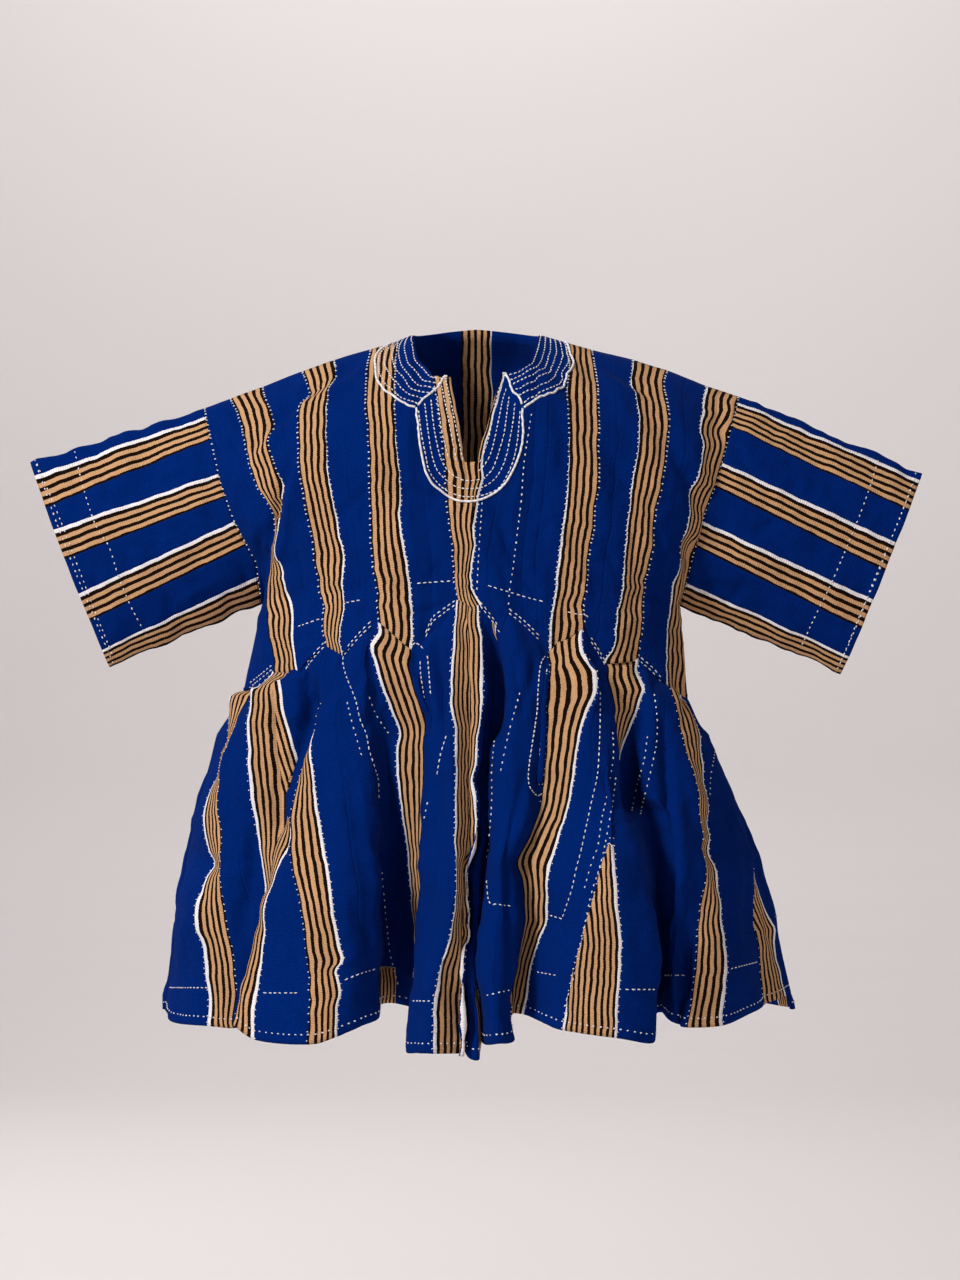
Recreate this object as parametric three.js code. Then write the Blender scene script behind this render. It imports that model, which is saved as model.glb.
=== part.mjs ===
// Fugu smock: a wide hand-woven cotton top, worn, with its sleeves held out to the sides.
// Millimetres, +Z up. The front faces -Y. Left and right in names are as seen from the front,
// so +X is the right, which is the wearer's own left.
// The origin lies midway between the shoulders, at the base of the neck.
import * as THREE from 'three';

// ---- driving dimensions ------------------------------------------------------------------
const WALL = 2.0;            // cloth thickness
const SEAM_GAP = 0.3;        // space between two pieces at a seam
const CHEST_DEPTH = 120;     // front of the chest, in front of the shoulder ridge
const WAIST_DEPTH = 128;     // front of the waist seam
const BACK_DEPTH = 106;      // shoulder blades, behind the ridge
const BACK_WAIST_DEPTH = 112;
const RIDGE_ROUNDING = 140;  // height over which the front falls away from the ridge
const BACK_ROUNDING = 115;
const RIDGE_POWER = 0.75;    // below 1 the cloth falls off steeply right in front of the ridge
const CHEST_POWER = 2.3;     // how flat the chest is across, before it turns to the armhole
const CHEST_TURN = 1.25;     // how sharply it turns there, and at the side seam below the armpit
const SIDE_TURN = 2;
const ARMHOLE_DEPTH = 50;    // half the depth of the flattened sleeve where it is sewn on
const ARMHOLE_TOP_Z = -65;   // the armhole's upper end, and the side seam's lower end
const SIDE_SEAM_Z = -395;
const ARMHOLE_POWER = 0.7;   // roundness of the armhole seam and of the cuff, seen from the side
const CUFF_POWER = 0.6;
const CUFF_DEPTH = 27;       // half the depth of the cuff
const NECK_HALF_WIDTH = 73;
const NAPE_RISE = 7;         // the back neck stands this much above the side of the neck
const NAPE_DOME = 42;        // height of the rounded surface that the back neck is cut from
const NAPE_DOME_POWER = 0.6;
const CHEST_Z = -157;
const ARM_Z = -200;
const WAIST_Z = -246;
const FULL_WAIST_Z = -330;   // the depth reaches its waist value here
const BACK_SEAM_Z = -312;    // the middle of the back's waist seam, its tooth and its arch
const BACK_SEAM_TOOTH = 11;
const BACK_SEAM_TEETH = 4;   // on each half
const BACK_SEAM_ARCH = 1.2;
const HIGH_Z = -440;         // levels of the skirt's table
const MID_Z = -580;
const GATHER_PUFF = 5;       // the skirt swells by this below its gathers
const PUFF_END_ROW = 0.9;    // the row of the skirt where the swelling ends
const PUFF_FADE = 60;        // within this distance of a side seam it fades out
const MITRE_LIMIT = 0.6;     // a wall's offset at a sharp fold is at most its thickness over this
const CORD_RADIUS = 1.4;
const CORD_SIDES = 6;
const CORD_LIFT = 1.0;       // from the cloth to the underside of a cord

const BLUE = { color: 0x0a3186, roughness: 0.85, metalness: 0 };
const WHITE = { color: 0xe9e2da, roughness: 0.8, metalness: 0 };

// ---- tables --------------------------------------------------------------------------------
// The shoulder ridge, from the left armhole to the right one.
const RIDGE = [ // [x, z]
  [-308, -71], [-278, -60], [-243, -47], [-196, -29], [-164, -17], [-141, -10], [-118, -4],
  [-92, 4], [-73, 12], [0, 17], [70, 12], [98, 4], [130, -5], [176, -16], [214, -28],
  [260, -46], [296, -58],
];

// The front bodice, one row for each lengthwise line: the edges of its strips, their middles,
// and the lines at the neck. Levels: neck or ridge, chest, arm, waist and waist seam.
const FRONT_LINES = [ // [name, x top, z top, x chest, x arm, x waist, x seam, z seam]
  ['side_l', -308, -71, -286, -271, -247, -264, -392],
  ['blue3_l', -293, -66, -265, -246, -238, -245, -380],
  ['band3_l', -278, -60, -245, -226, -230, -227, -369],
  ['band3_r', -243, -47, -213, -216, -217, -195, -370],
  ['blue2_m', -220, -38, -202, -201, -197, -182, -353],
  ['band2_l', -196, -29, -194, -184, -179, -167, -340],
  ['band2_r', -164, -17, -163, -154, -146, -146, -350],
  ['blue1_m', -141, -10, -141, -135, -129, -127, -331],
  ['band1_l', -118, -4, -117, -116, -113, -110, -314],
  ['band1_r', -92, 4, -85, -83, -77, -71, -344],
  ['neck_l', -73, 11, -72, -70, -66, -62, -340],
  ['blue0_l', -67, -20, -58, -54, -50, -50, -330],
  ['band0_l', -48, -41, -34, -30, -27, -23, -294],
  ['slit_l', -29, -43, -12, -13, -14, -12, -297],
  ['slit_m', -4, -43, -7, -8, -10, -7, -301],
  ['slit_r', 27, -39, -2, -4, -7, -2, -300],
  ['band0_r', 31, -39, 3, -1, -4, 3, -296],
  ['bluec_a', 45, -35, 25, 19, 13, 25, -324],
  ['bluec_b', 59, -25, 46, 41, 36, 33, -302],
  ['neck_r', 70, 11, 60, 55, 50, 52, -318],
  ['bluec_c', 84, 8, 74, 69, 64, 70, -336],
  ['rband1_l', 102, 3, 99, 94, 88, 78, -349],
  ['rband1_r', 130, -5, 132, 128, 122, 115, -319],
  ['rblue1_m', 152, -11, 152, 147, 140, 127, -339],
  ['rband2_l', 177, -17, 172, 166, 160, 139, -360],
  ['rband2_r', 214, -28, 204, 196, 188, 178, -356],
  ['rblue2_m', 237, -37, 223, 214, 206, 191, -369],
  ['rband3_l', 260, -46, 241, 233, 223, 208, -382],
  ['rband3_m', 276, -52, 253, 241, 230, 221, -387],
  ['side_r', 296, -58, 267, 251, 240, 238, -399],
];
const SLIT_LEFT = 'slit_l';
const SLIT_RIGHT = 'slit_r';

// Rows of the bodice: 0 ridge, 1 chest, 2 arm, 3 waist, 4 waist seam.
const ARMPIT_ROW = 3.32;
const SLIT_ROW = 0.84;
const BODICE_ROWS = [0, 0.06, 0.15, 0.28, 0.45, 0.65, SLIT_ROW, 1, 1.5, 2, 2.4, 2.75, 3, 3.18,
  ARMPIT_ROW, 3.6, 3.8, 4];
const ARMPIT_X = { left: -243, right: 229 };

// The fold that swallows the outer left strip between the chest and the waist.
const ARM_FOLD = { line: ['band3_l', 'band3_r'], row: 2, spread: 0.8, depth: 8 };

// The front skirt, one row for each fold or strip edge, from the left side seam to the right.
// y is negative in front; ridges reach out and valleys (v) fall back.
const SKIRT_LINES = [ // [name, x seam, x high, y high, x mid, y mid, x hem, y hem, z hem]
  ['side_l', -264, -294, 0, -328, 0, -353, 0, -751],
  ['f0', -262, -290, -26, -316, -46, -336, -56, -758],
  ['sa_l', -259, -286, -42, -294, -82, -295, -104, -756],
  ['sa_r', -252, -271, -62, -281, -98, -260, -122, -756],
  ['v0', -239, -261, -76, -256, -112, -234, -116, -748],
  ['sb_l', -227, -252, -90, -234, -118, -225, -130, -746],
  ['sb_m', -210, -236, -94, -219, -124, -236, -144, -746],
  ['sb_r', -195, -205, -104, -210, -136, -250, -152, -746],
  ['sc_l', -185, -193, -112, -222, -152, -266, -168, -744],
  ['sc_r', -177, -188, -117, -215, -168, -236, -196, -759],
  ['sd_l', -167, -183, -121, -195, -190, -179, -226, -760],
  ['sd_r', -146, -174, -128, -156, -206, -148, -224, -752],
  ['f2_m', -133, -148, -146, -128, -202, -122, -208, -743],
  ['f2_r', -122, -120, -148, -106, -174, -103, -180, -738],
  ['v2_l', -117, -110, -132, -105, -134, -106, -132, -730],
  ['v2_m', -113, -99, -122, -90, -116, -88, -112, -730],
  ['se_l', -109, -87, -124, -73, -132, -66, -130, -735],
  ['se_r', -71, -57, -132, -56, -146, -58, -156, -743],
  ['f3_l', -62, -51, -142, -60, -168, -80, -186, -771],
  ['f3_m', -42, -38, -154, -41, -192, -66, -212, -771],
  ['c_l', -23, -29, -158, -20, -206, -48, -224, -770],
  ['c_r', 2, 5, -150, -11, -186, -20, -216, -774],
  ['v3', 7, 8, -124, -9, -152, -15, -178, -766],
  ['f4_l', 10, 11, -120, -6, -168, -12, -206, -776],
  ['f4_r', 14, 17, -119, 4, -168, 3, -208, -778],
  ['v4', 17, 20, -118, 7, -154, 5, -180, -764],
  ['f5_l', 21, 24, -140, 10, -182, 9, -206, -763],
  ['f5_m', 28, 38, -160, 25, -200, 20, -222, -760],
  ['f5_r', 38, 57, -160, 39, -186, 37, -204, -758],
  ['sg_l', 77, 72, -152, 43, -164, 34, -160, -737],
  ['sg_r', 115, 110, -160, 79, -184, 53, -164, -736],
  ['f6_l', 121, 122, -160, 104, -202, 73, -194, -742],
  ['sh_l', 126, 133, -156, 133, -214, 91, -210, -747],
  ['sh_r', 131, 141, -152, 147, -216, 149, -228, -753],
  ['f6_r', 136, 153, -142, 180, -196, 190, -208, -761],
  ['si_l', 141, 158, -122, 187, -160, 187, -168, -747],
  ['si_r', 178, 178, -106, 194, -128, 198, -136, -737],
  ['f7_a', 190, 198, -120, 210, -158, 212, -172, -743],
  ['f7_v', 199, 213, -112, 228, -148, 222, -162, -747],
  ['sj_l', 208, 227, -100, 246, -138, 230, -178, -748],
  ['sj_r', 229, 249, -72, 263, -122, 271, -160, -748],
  ['f7_m', 234, 256, -46, 291, -80, 309, -112, -742],
  ['sk_l', 236, 260, -28, 310, -44, 336, -66, -737],
  ['side_r', 238, 261, 0, 318, 0, 355, 0, -731],
];
// Rows of the skirt: 0 waist seam, 1 high, 2 middle, 3 hem.
const SKIRT_ROWS = [0, 0.1, 0.28, 0.6, 1, 1.35, 1.7, 2, 2.35, 2.7, 3];

// The back skirt hangs in flutes, each with its valley in the middle: the share of the width
// that it takes, and how far its ridges stand out at the hem.
const BACK_FLUTES = [ // [share, reach]
  [0.9, 24], [1.15, 32], [0.85, 26], [1.1, 34], [1.2, 30], [0.8, 26], [1.1, 32], [0.9, 24],
];
const BACK_COLUMNS_PER_FLUTE = 9;
// The back skirt's outline at the high, middle and hem levels: its two side seams, how far it
// stands back, and how much of the flutes' reach it has.
const BACK_LEVELS = [
  { left: -294, right: 261, depth: 138, reach: 0.35 },
  { left: -328, right: 318, depth: 172, reach: 0.7 },
  { left: -353, right: 355, depth: 194, reach: 1 },
];
const BACK_HEM_Z = -750;
const BACK_HEM_DIP = 8;           // a ridge's hem hangs this much lower
const BACK_ROUND_POWER = 0.9;
const BACK_SIDE_FADE = 0.5;       // the flutes fade out towards the side seams
const VALLEY_DEPTH = 1.9;         // from a ridge to a valley, as a share of the ridge's reach
const VALLEY_SHARPNESS = 1.5;
const SEAM_SPREAD = 0.4;          // how far the columns crowd to the sides at the waist seam

// Sleeves: the cuff's upper and lower corner.
const SLEEVES = {
  left: { side: 'side_l', sign: -1, top: [-505, -132], bottom: [-415, -364] },
  right: { side: 'side_r', sign: 1, top: [503, -145], bottom: [411, -371] },
};
const SLEEVE_RINGS = [0, 0.06, 0.2, 0.4, 0.6, 0.8, 1];
const SLEEVE_FOLD_WIDTH = 0.07;   // a share of the way round
const SLEEVE_FOLD_LENGTH = 0.3;   // a share of the sleeve's length
const SLEEVE_FOLDS = [ // [side, share of the way round, share of the length, depth]
  ['left', 0.36, 0.2, 5], ['left', 0.22, 0.6, 3], ['left', 0.7, 0.4, 4],
  ['right', 0.38, 0.2, 6], ['right', 0.2, 0.4, 3], ['right', 0.68, 0.4, 4],
];

// Routes of the white cord on the bodice: [x, y, z] near the cloth, which each is laid on.
const NECK_RING_CORD = [
  [-68, -98, -82], [-85, -88, -75], [-94, -78, -68], [-104, -62, -54], [-111, -45, -38],
  [-114, -30, -22], [-109, -14, -8], [-98, 0, 3], [-90, 26, -3], [-77, 54, -8], [-48, 80, -10],
  [0, 90, -10], [48, 80, -10], [77, 54, -8], [92, 26, -3], [100, 0, 3], [103, -14, -6],
  [105, -32, -24], [101, -48, -41], [92, -64, -56], [79, -80, -68], [65, -90, -76],
  [53, -98, -81],
];
const BIB_CORD = [
  [-66, -98, -83], [-64, -106, -98], [-61, -111, -120], [-58, -116, -142], [-51, -119, -159],
  [-40, -122, -170], [-27, -123, -179], [-12, -124, -182], [4, -123, -180], [20, -122, -172],
  [31, -121, -162], [39, -119, -148], [47, -112, -126], [50, -106, -104], [51, -98, -82],
];
const MITRE_LEFT = [[-30, -66, -42], [-44, -85, -61], [-64, -97, -80]];
const MITRE_RIGHT = [[27, -65, -40], [39, -84, -60], [50, -96, -78]];

// Pocket slits: a bound edge along a line of the skirt, between two rows, its width to one side.
const POCKETS = [
  { name: 'pocket_left', line: 'se_r', from: 0.28, to: 1, width: 7 },
  { name: 'pocket_right', line: 'sg_l', from: 0.28, to: 1.35, width: -7 },
];
const POCKET_THICKNESS = 1.4;
const POCKET_LIFT = 0.5;

// ---- small tools -----------------------------------------------------------------------------
const vec = (x, y, z) => new THREE.Vector3(x, y, z);
const mix = (a, b, t) => a + (b - a) * t;
const clamp01 = (t) => Math.min(Math.max(t, 0), 1);

/** Straight-line reading of a table of [key, value] rows. */
function readTable(rows, key) {
  let i = 1;
  while (i < rows.length - 1 && rows[i][0] < key) i += 1;
  const [k0, v0] = rows[i - 1];
  const [k1, v1] = rows[i];
  return mix(v0, v1, clamp01((key - k0) / (k1 - k0)));
}

/** Smooth reading of evenly keyed values (a Catmull-Rom curve with free ends). */
function smooth(values, key) {
  const last = values.length - 1;
  const i = Math.min(Math.max(Math.floor(key), 0), last - 1);
  const t = key - i;
  const p1 = values[i];
  const p2 = values[i + 1];
  const p0 = i > 0 ? values[i - 1] : 2 * p1 - p2;
  const p3 = i + 2 <= last ? values[i + 2] : 2 * p2 - p1;
  return 0.5 * (2 * p1 + (p2 - p0) * t + (2 * p0 - 5 * p1 + 4 * p2 - p3) * t * t
    + (3 * p1 - p0 - 3 * p2 + p3) * t * t * t);
}

/** Unit normal of the cell whose upper left corner is (r, c). */
function cellNormal(points, r, c, facing) {
  const diagonal = vec(0, 0, 0).subVectors(points[r + 1][c + 1], points[r][c]);
  const other = vec(0, 0, 0).subVectors(points[r + 1][c], points[r][c + 1]);
  return diagonal.cross(other).multiplyScalar(facing).normalize();
}

/**
 * Outward directions for a grid of points, rows downwards, columns to +X; facing is -1 in
 * front. Each is the mean of the cells around the point, lengthened at a sharp fold so that
 * the wall keeps its thickness there.
 */
function gridNormals(points, facing) {
  const lastRow = points.length - 1;
  const lastCol = points[0].length - 1;
  return points.map((row, r) => row.map((_, c) => {
    const around = [];
    [r - 1, r].forEach((cr) => [c - 1, c].forEach((cc) => {
      const inside = cr >= 0 && cr < lastRow && cc >= 0 && cc < lastCol;
      if (inside) around.push(cellNormal(points, cr, cc, facing));
    }));
    const mean = around.reduce((sum, n) => sum.add(n), vec(0, 0, 0)).normalize();
    const share = around.reduce((sum, n) => sum + n.dot(mean), 0) / around.length;
    return mean.divideScalar(Math.max(share, MITRE_LIMIT));
  }));
}

/**
 * A cloth wall: the outer points, their inner twins, and an edge wherever a cell has no
 * neighbour. present(r, c) leaves cells out; closed joins the last column to the first.
 */
function clothWall(outer, normals, facing, { present = () => true, closed = false,
  thickness = WALL } = {}) {
  const rows = outer.length;
  const cols = outer[0].length;
  const cellCols = closed ? cols : cols - 1;
  const positions = [];
  outer.forEach((row) => row.forEach((p) => positions.push(p.x, p.y, p.z)));
  outer.forEach((row, r) => row.forEach((p, c) => {
    const n = normals[r][c];
    positions.push(p.x - n.x * thickness, p.y - n.y * thickness, p.z - n.z * thickness);
  }));
  const at = (r, c, side) => side * rows * cols + r * cols + (c % cols);
  const has = (r, c) => {
    if (r < 0 || r >= rows - 1) return false;
    if (!closed && (c < 0 || c >= cellCols)) return false;
    return present(r, (c + cellCols) % cellCols);
  };
  const index = [];
  const quad = (a, b, c, d) => {
    const loop = facing > 0 ? [a, b, c, a, c, d] : [a, c, b, a, d, c];
    index.push(...loop);
  };
  for (let r = 0; r < rows - 1; r += 1) {
    for (let c = 0; c < cellCols; c += 1) {
      if (!has(r, c)) continue;
      quad(at(r, c, 0), at(r, c + 1, 0), at(r + 1, c + 1, 0), at(r + 1, c, 0));
      quad(at(r, c, 1), at(r + 1, c, 1), at(r + 1, c + 1, 1), at(r, c + 1, 1));
      const edges = [
        [r - 1, c, r, c + 1, r, c], [r + 1, c, r + 1, c, r + 1, c + 1],
        [r, c - 1, r, c, r + 1, c], [r, c + 1, r + 1, c + 1, r, c + 1],
      ];
      edges.forEach(([nr, nc, ar, ac, br, bc]) => {
        if (has(nr, nc)) return;
        // The lower corner starts the diagonal, so that two pieces split a seam's face alike.
        const a = [at(ar, ac, 0), at(ar, ac, 1)];
        const b = [at(br, bc, 0), at(br, bc, 1)];
        if (outer[ar][ac % cols].z < outer[br][bc % cols].z) quad(a[0], b[0], b[1], a[1]);
        else quad(b[0], b[1], a[1], a[0]);
      });
    }
  }
  return compact(positions, index);
}

/** A geometry that holds only the vertices its triangles use. */
function compact(positions, index) {
  const renumber = new Map();
  const kept = [];
  const newIndex = index.map((i) => {
    if (!renumber.has(i)) {
      renumber.set(i, renumber.size);
      kept.push(...positions.slice(3 * i, 3 * i + 3));
    }
    return renumber.get(i);
  });
  const geometry = new THREE.BufferGeometry();
  geometry.setAttribute('position', new THREE.Float32BufferAttribute(kept, 3));
  geometry.setIndex(newIndex);
  return geometry;
}

// ---- bodice -------------------------------------------------------------------------------
const FRONT_NAMES = FRONT_LINES.map((line) => line[0]);
const frontLine = (name) => FRONT_LINES[FRONT_NAMES.indexOf(name)];

/** X of a side edge at a row: the armhole seam above the armpit, the side seam below it. */
function sideX(side, row) {
  const line = frontLine(side);
  const armpit = side === 'side_l' ? ARMPIT_X.left : ARMPIT_X.right;
  const knots = [[0, line[1]], [1, line[3]], [2, line[4]], [3, line[5]], [ARMPIT_ROW, armpit],
    [4, line[6]]];
  return readTable(knots, row);
}

/** Z of a line that starts at zTop and ends at zSeam, at a row. */
function rowZ(zTop, zSeam, row) {
  return readTable([[0, zTop], [1, CHEST_Z], [2, ARM_Z], [3, WAIST_Z], [4, zSeam]], row);
}

/** Depth of the armhole seam, which closes at the ridge and at the armpit. */
function armholeDepth(row) {
  if (row >= ARMPIT_ROW) return 0;
  const drop = (at) => rowZ(ARMHOLE_TOP_Z, SIDE_SEAM_Z, at) - ARMHOLE_TOP_Z;
  const share = clamp01(drop(row) / drop(ARMPIT_ROW));
  return ARMHOLE_DEPTH * Math.sin(Math.PI * share) ** ARMHOLE_POWER;
}

/** Height of the rounded surface that the panels are laid over, above the ridge at the nape. */
function ridgeZ(x, back) {
  const nape = clamp01(1 - (x / NECK_HALF_WIDTH) ** 2);
  return readTable(RIDGE, x) + (back ? NAPE_DOME * nape ** NAPE_DOME_POWER : 0);
}

/** Distance of the bodice from the plane of the ridge, at x and z on a row. */
function bodiceDepth(x, z, row, back) {
  const edge = sideX(x < 0 ? 'side_l' : 'side_r', row);
  const q = clamp01(Math.abs(x / edge));
  const turn = mix(CHEST_TURN, SIDE_TURN, clamp01((row - 3) / 0.6));
  const share = (1 - q ** CHEST_POWER) ** (1 / turn);
  const rounding = back ? BACK_ROUNDING : RIDGE_ROUNDING;
  const drop = clamp01((ridgeZ(x, back) - z) / rounding);
  const fall = Math.sin(drop * Math.PI / 2) ** RIDGE_POWER;
  const waist = clamp01((CHEST_Z - z) / (CHEST_Z - FULL_WAIST_Z));
  const full = back ? mix(BACK_DEPTH, BACK_WAIST_DEPTH, waist) : mix(CHEST_DEPTH, WAIST_DEPTH, waist);
  return mix(armholeDepth(row), full * fall, share);
}

/** The fold at the arm, as a share from 0 to 1. */
function armFold(name, row) {
  if (!ARM_FOLD.line.includes(name)) return 0;
  return Math.exp(-(((row - ARM_FOLD.row) / ARM_FOLD.spread) ** 2));
}

/** One point of the front bodice. */
function frontPoint(line, row) {
  const [name, xTop, zTop, xChest, xArm, xWaist, xSeam, zSeam] = line;
  const isSide = name.startsWith('side');
  const x = isSide ? sideX(name, row) : smooth([xTop, xChest, xArm, xWaist, xSeam], row);
  const z = rowZ(zTop, zSeam, row);
  const depth = bodiceDepth(x, z, row, false) - ARM_FOLD.depth * armFold(name, row);
  return vec(x, -Math.max(depth, SEAM_GAP / 2), z);
}

/** Shares of the half width at which the back has a column. */
const BACK_SHARES = [1, 0.96, 0.9, 0.8, 0.7, 0.6, 0.5, 0.41, 0.32, 0.25, 0.19, 0.1];

/** The waist seam of the back: it falls to the sides in steps, one for each pair of strips. */
function backSeamZ(q) {
  const side = frontLine(q < 0 ? 'side_l' : 'side_r')[7];
  const out = Math.abs(q);
  const steps = out * BACK_SEAM_TEETH;
  const tooth = 1 - Math.abs(2 * (steps - Math.floor(steps)) - 1);
  return mix(BACK_SEAM_Z, side, out ** BACK_SEAM_ARCH) - BACK_SEAM_TOOTH * tooth * (1 - out ** 8);
}

/** One point of the back bodice, at a signed share q of the half width. */
function backPoint(q, row) {
  const x = Math.abs(q) * sideX(q < 0 ? 'side_l' : 'side_r', row);
  const top = Math.abs(q) * sideX(q < 0 ? 'side_l' : 'side_r', 0);
  const nape = clamp01(1 - (top / NECK_HALF_WIDTH) ** 2);
  const zTop = readTable(RIDGE, top) + NAPE_RISE * nape;
  const z = rowZ(zTop, backSeamZ(q), row);
  return vec(x, Math.max(bodiceDepth(x, z, row, true), SEAM_GAP / 2), z);
}

/** Squares the wall's edges up where two pieces meet, so that their faces lie side by side. */
function squareEdges(points, normals) {
  const lastRow = points.length - 1;
  const lastCol = points[0].length - 1;
  normals[lastRow].forEach((n) => n.setZ(0).normalize());
  points[0].forEach((p, c) => {
    if (Math.abs(p.y) < 1) normals[0][c].setY(0).normalize();
  });
  points.forEach((row, r) => {
    [0, lastCol].forEach((c) => {
      const out = c === 0 ? -1 : 1;
      const n = normals[r][c];
      const v = BODICE_ROWS[r];
      if (v > ARMPIT_ROW) n.set(out, 0, 0);
      else if (v === ARMPIT_ROW) n.set(out, 0, -1).normalize();
      else if (r === 0) n.set(0, 0, 1);
    });
  });
}

/** A bodice panel as points and normals. */
function bodicePanel(back) {
  const shares = [...BACK_SHARES.map((q) => -q), 0, ...[...BACK_SHARES].reverse()];
  const points = BODICE_ROWS.map((row) => (back
    ? shares.map((q) => backPoint(q, row))
    : FRONT_LINES.map((line) => frontPoint(line, row))));
  const normals = gridNormals(points, back ? 1 : -1);
  squareEdges(points, normals);
  return { points, normals, facing: back ? 1 : -1 };
}

const front = bodicePanel(false);
const back = bodicePanel(true);

/** The front has no cloth inside the neck slit. */
function frontBodice() {
  const left = FRONT_NAMES.indexOf(SLIT_LEFT);
  const right = FRONT_NAMES.indexOf(SLIT_RIGHT);
  const slitRow = BODICE_ROWS.indexOf(SLIT_ROW);
  const present = (r, c) => r >= slitRow || c < left || c >= right;
  return clothWall(front.points, front.normals, -1, { present });
}

function backBodice() {
  return clothWall(back.points, back.normals, 1);
}

// ---- sleeves ------------------------------------------------------------------------------
/** The armhole seam as one loop: down the front from the ridge and up the back. */
function armholeLoop(side) {
  const armpit = BODICE_ROWS.indexOf(ARMPIT_ROW);
  const pick = (panel, grid, r) => {
    const row = panel[grid][r];
    return side === 'left' ? row[0] : row[row.length - 1];
  };
  const loop = [];
  for (let r = 0; r <= armpit; r += 1) loop.push([front, r]);
  for (let r = armpit - 1; r >= 1; r -= 1) loop.push([back, r]);
  return loop.map(([panel, r]) => ({
    point: pick(panel, 'points', r), normal: pick(panel, 'normals', r),
    inFront: panel === front, seam: r === 0 || r === armpit,
  }));
}

/** A sleeve: a flattened tube from the armhole to the cuff. */
function sleeve(side) {
  const { sign, top, bottom } = SLEEVES[side];
  const loop = armholeLoop(side);
  const zTop = loop[0].point.z;
  const half = loop.filter((entry) => entry.inFront);
  const zBottom = half[half.length - 1].point.z;
  const around = loop.length;
  const rings = SLEEVE_RINGS.map((t) => loop.map((entry, i) => {
    const start = entry.point.clone();
    if (entry.seam) start.y = 0;
    start.x += sign * SEAM_GAP;
    const down = (zTop - entry.point.z) / (zTop - zBottom);
    const cuffY = (entry.inFront ? -1 : 1) * (entry.seam ? 0 : CUFF_DEPTH)
      * Math.sin(Math.PI * clamp01(down)) ** CUFF_POWER;
    const end = vec(mix(top[0], bottom[0], down), cuffY, mix(top[1], bottom[1], down));
    const p = start.lerp(end, t);
    const sway = Math.sin(Math.PI * t);
    const fold = SLEEVE_FOLDS.reduce((sum, [which, place, ring, depth]) => {
      if (which !== side) return sum;
      const gap = (i / around - place) / SLEEVE_FOLD_WIDTH;
      const along = (t - ring) / SLEEVE_FOLD_LENGTH;
      return sum + depth * Math.exp(-gap * gap - along * along);
    }, 0);
    p.y += (entry.inFront ? 1 : -1) * fold * sway;
    return p;
  }));
  const normals = sleeveNormals(rings, sign);
  loop.forEach((entry, i) => { normals[0][i] = entry.normal.clone(); });
  return clothWall(rings, normals, sign, { closed: true });
}

/** Outward normals of a closed tube of rings. */
function sleeveNormals(rings, sign) {
  const last = rings.length - 1;
  return rings.map((ring, r) => ring.map((p, i) => {
    const n = ring.length;
    const around = vec(0, 0, 0).subVectors(ring[(i + 1) % n], ring[(i + n - 1) % n]);
    const along = vec(0, 0, 0).subVectors(rings[Math.min(r + 1, last)][i],
      rings[Math.max(r - 1, 0)][i]);
    return around.cross(along).multiplyScalar(sign).normalize();
  }));
}

// ---- skirt --------------------------------------------------------------------------------
/** The waist seam of a bodice panel, read at x: the point and the normal of its lower edge. */
function waistSeam(panel, x) {
  const edge = panel.points[panel.points.length - 1];
  const normals = panel.normals[panel.normals.length - 1];
  let c = 1;
  while (c < edge.length - 1 && edge[c].x < x) c += 1;
  const t = clamp01((x - edge[c - 1].x) / (edge[c].x - edge[c - 1].x));
  const point = edge[c - 1].clone().lerp(edge[c], t);
  const normal = normals[c - 1].clone().lerp(normals[c], t).normalize();
  const run = Math.hypot(edge[c].x - edge[c - 1].x, edge[c].y - edge[c - 1].y);
  const slope = (edge[c].z - edge[c - 1].z) / run;
  point.z -= SEAM_GAP * Math.sqrt(1 + slope * slope);
  return { point, normal };
}

/** The x of every corner of a panel's waist seam, so that the skirt turns where it turns. */
const seamCorners = (panel) => panel.points[panel.points.length - 1].map((p) => p.x);

/** Moves each seam x onto the nearest corner of the waist seam, if one lies between its neighbours. */
function snapToCorners(xs, corners) {
  const snapped = [...xs];
  corners.forEach((corner) => {
    let best = 0;
    snapped.forEach((x, i) => {
      if (Math.abs(x - corner) < Math.abs(snapped[best] - corner)) best = i;
    });
    const low = best > 0 ? snapped[best - 1] : -Infinity;
    const high = best < snapped.length - 1 ? snapped[best + 1] : Infinity;
    if (corner > low && corner < high) snapped[best] = corner;
  });
  return snapped;
}

/** A skirt wall from columns that each give x, y at the high, middle and hem levels. */
function skirtPanel(panel, columns, facing) {
  const seamXs = snapToCorners(columns.map((column) => column.seamX), seamCorners(panel));
  const seams = seamXs.map((x) => waistSeam(panel, x));
  const lastCol = columns.length - 1;
  const points = SKIRT_ROWS.map((row) => columns.map((column, c) => {
    const seam = seams[c].point;
    if (row === 0) return seam.clone();
    const xs = [seam.x, ...column.xs];
    const ys = [seam.y, ...column.ys];
    const x = smooth(xs, row);
    const z = readTable([[0, seam.z], [1, HIGH_Z], [2, MID_Z], [3, column.hemZ]], row);
    if (c === 0 || c === lastCol) return vec(x, facing * SEAM_GAP / 2, z);
    const puff = GATHER_PUFF * Math.sin(Math.PI * clamp01(row / PUFF_END_ROW));
    const share = clamp01(Math.abs(seam.y) / PUFF_FADE);
    return vec(x, smooth(ys, row) + facing * puff * share, z);
  }));
  const normals = gridNormals(points, facing);
  seams.forEach((seam, c) => { normals[0][c] = seam.normal.clone(); });
  points.forEach((_, r) => {
    normals[r][0].set(-1, 0, 0);
    normals[r][lastCol].set(1, 0, 0);
  });
  return { points, normals, facing };
}

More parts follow.
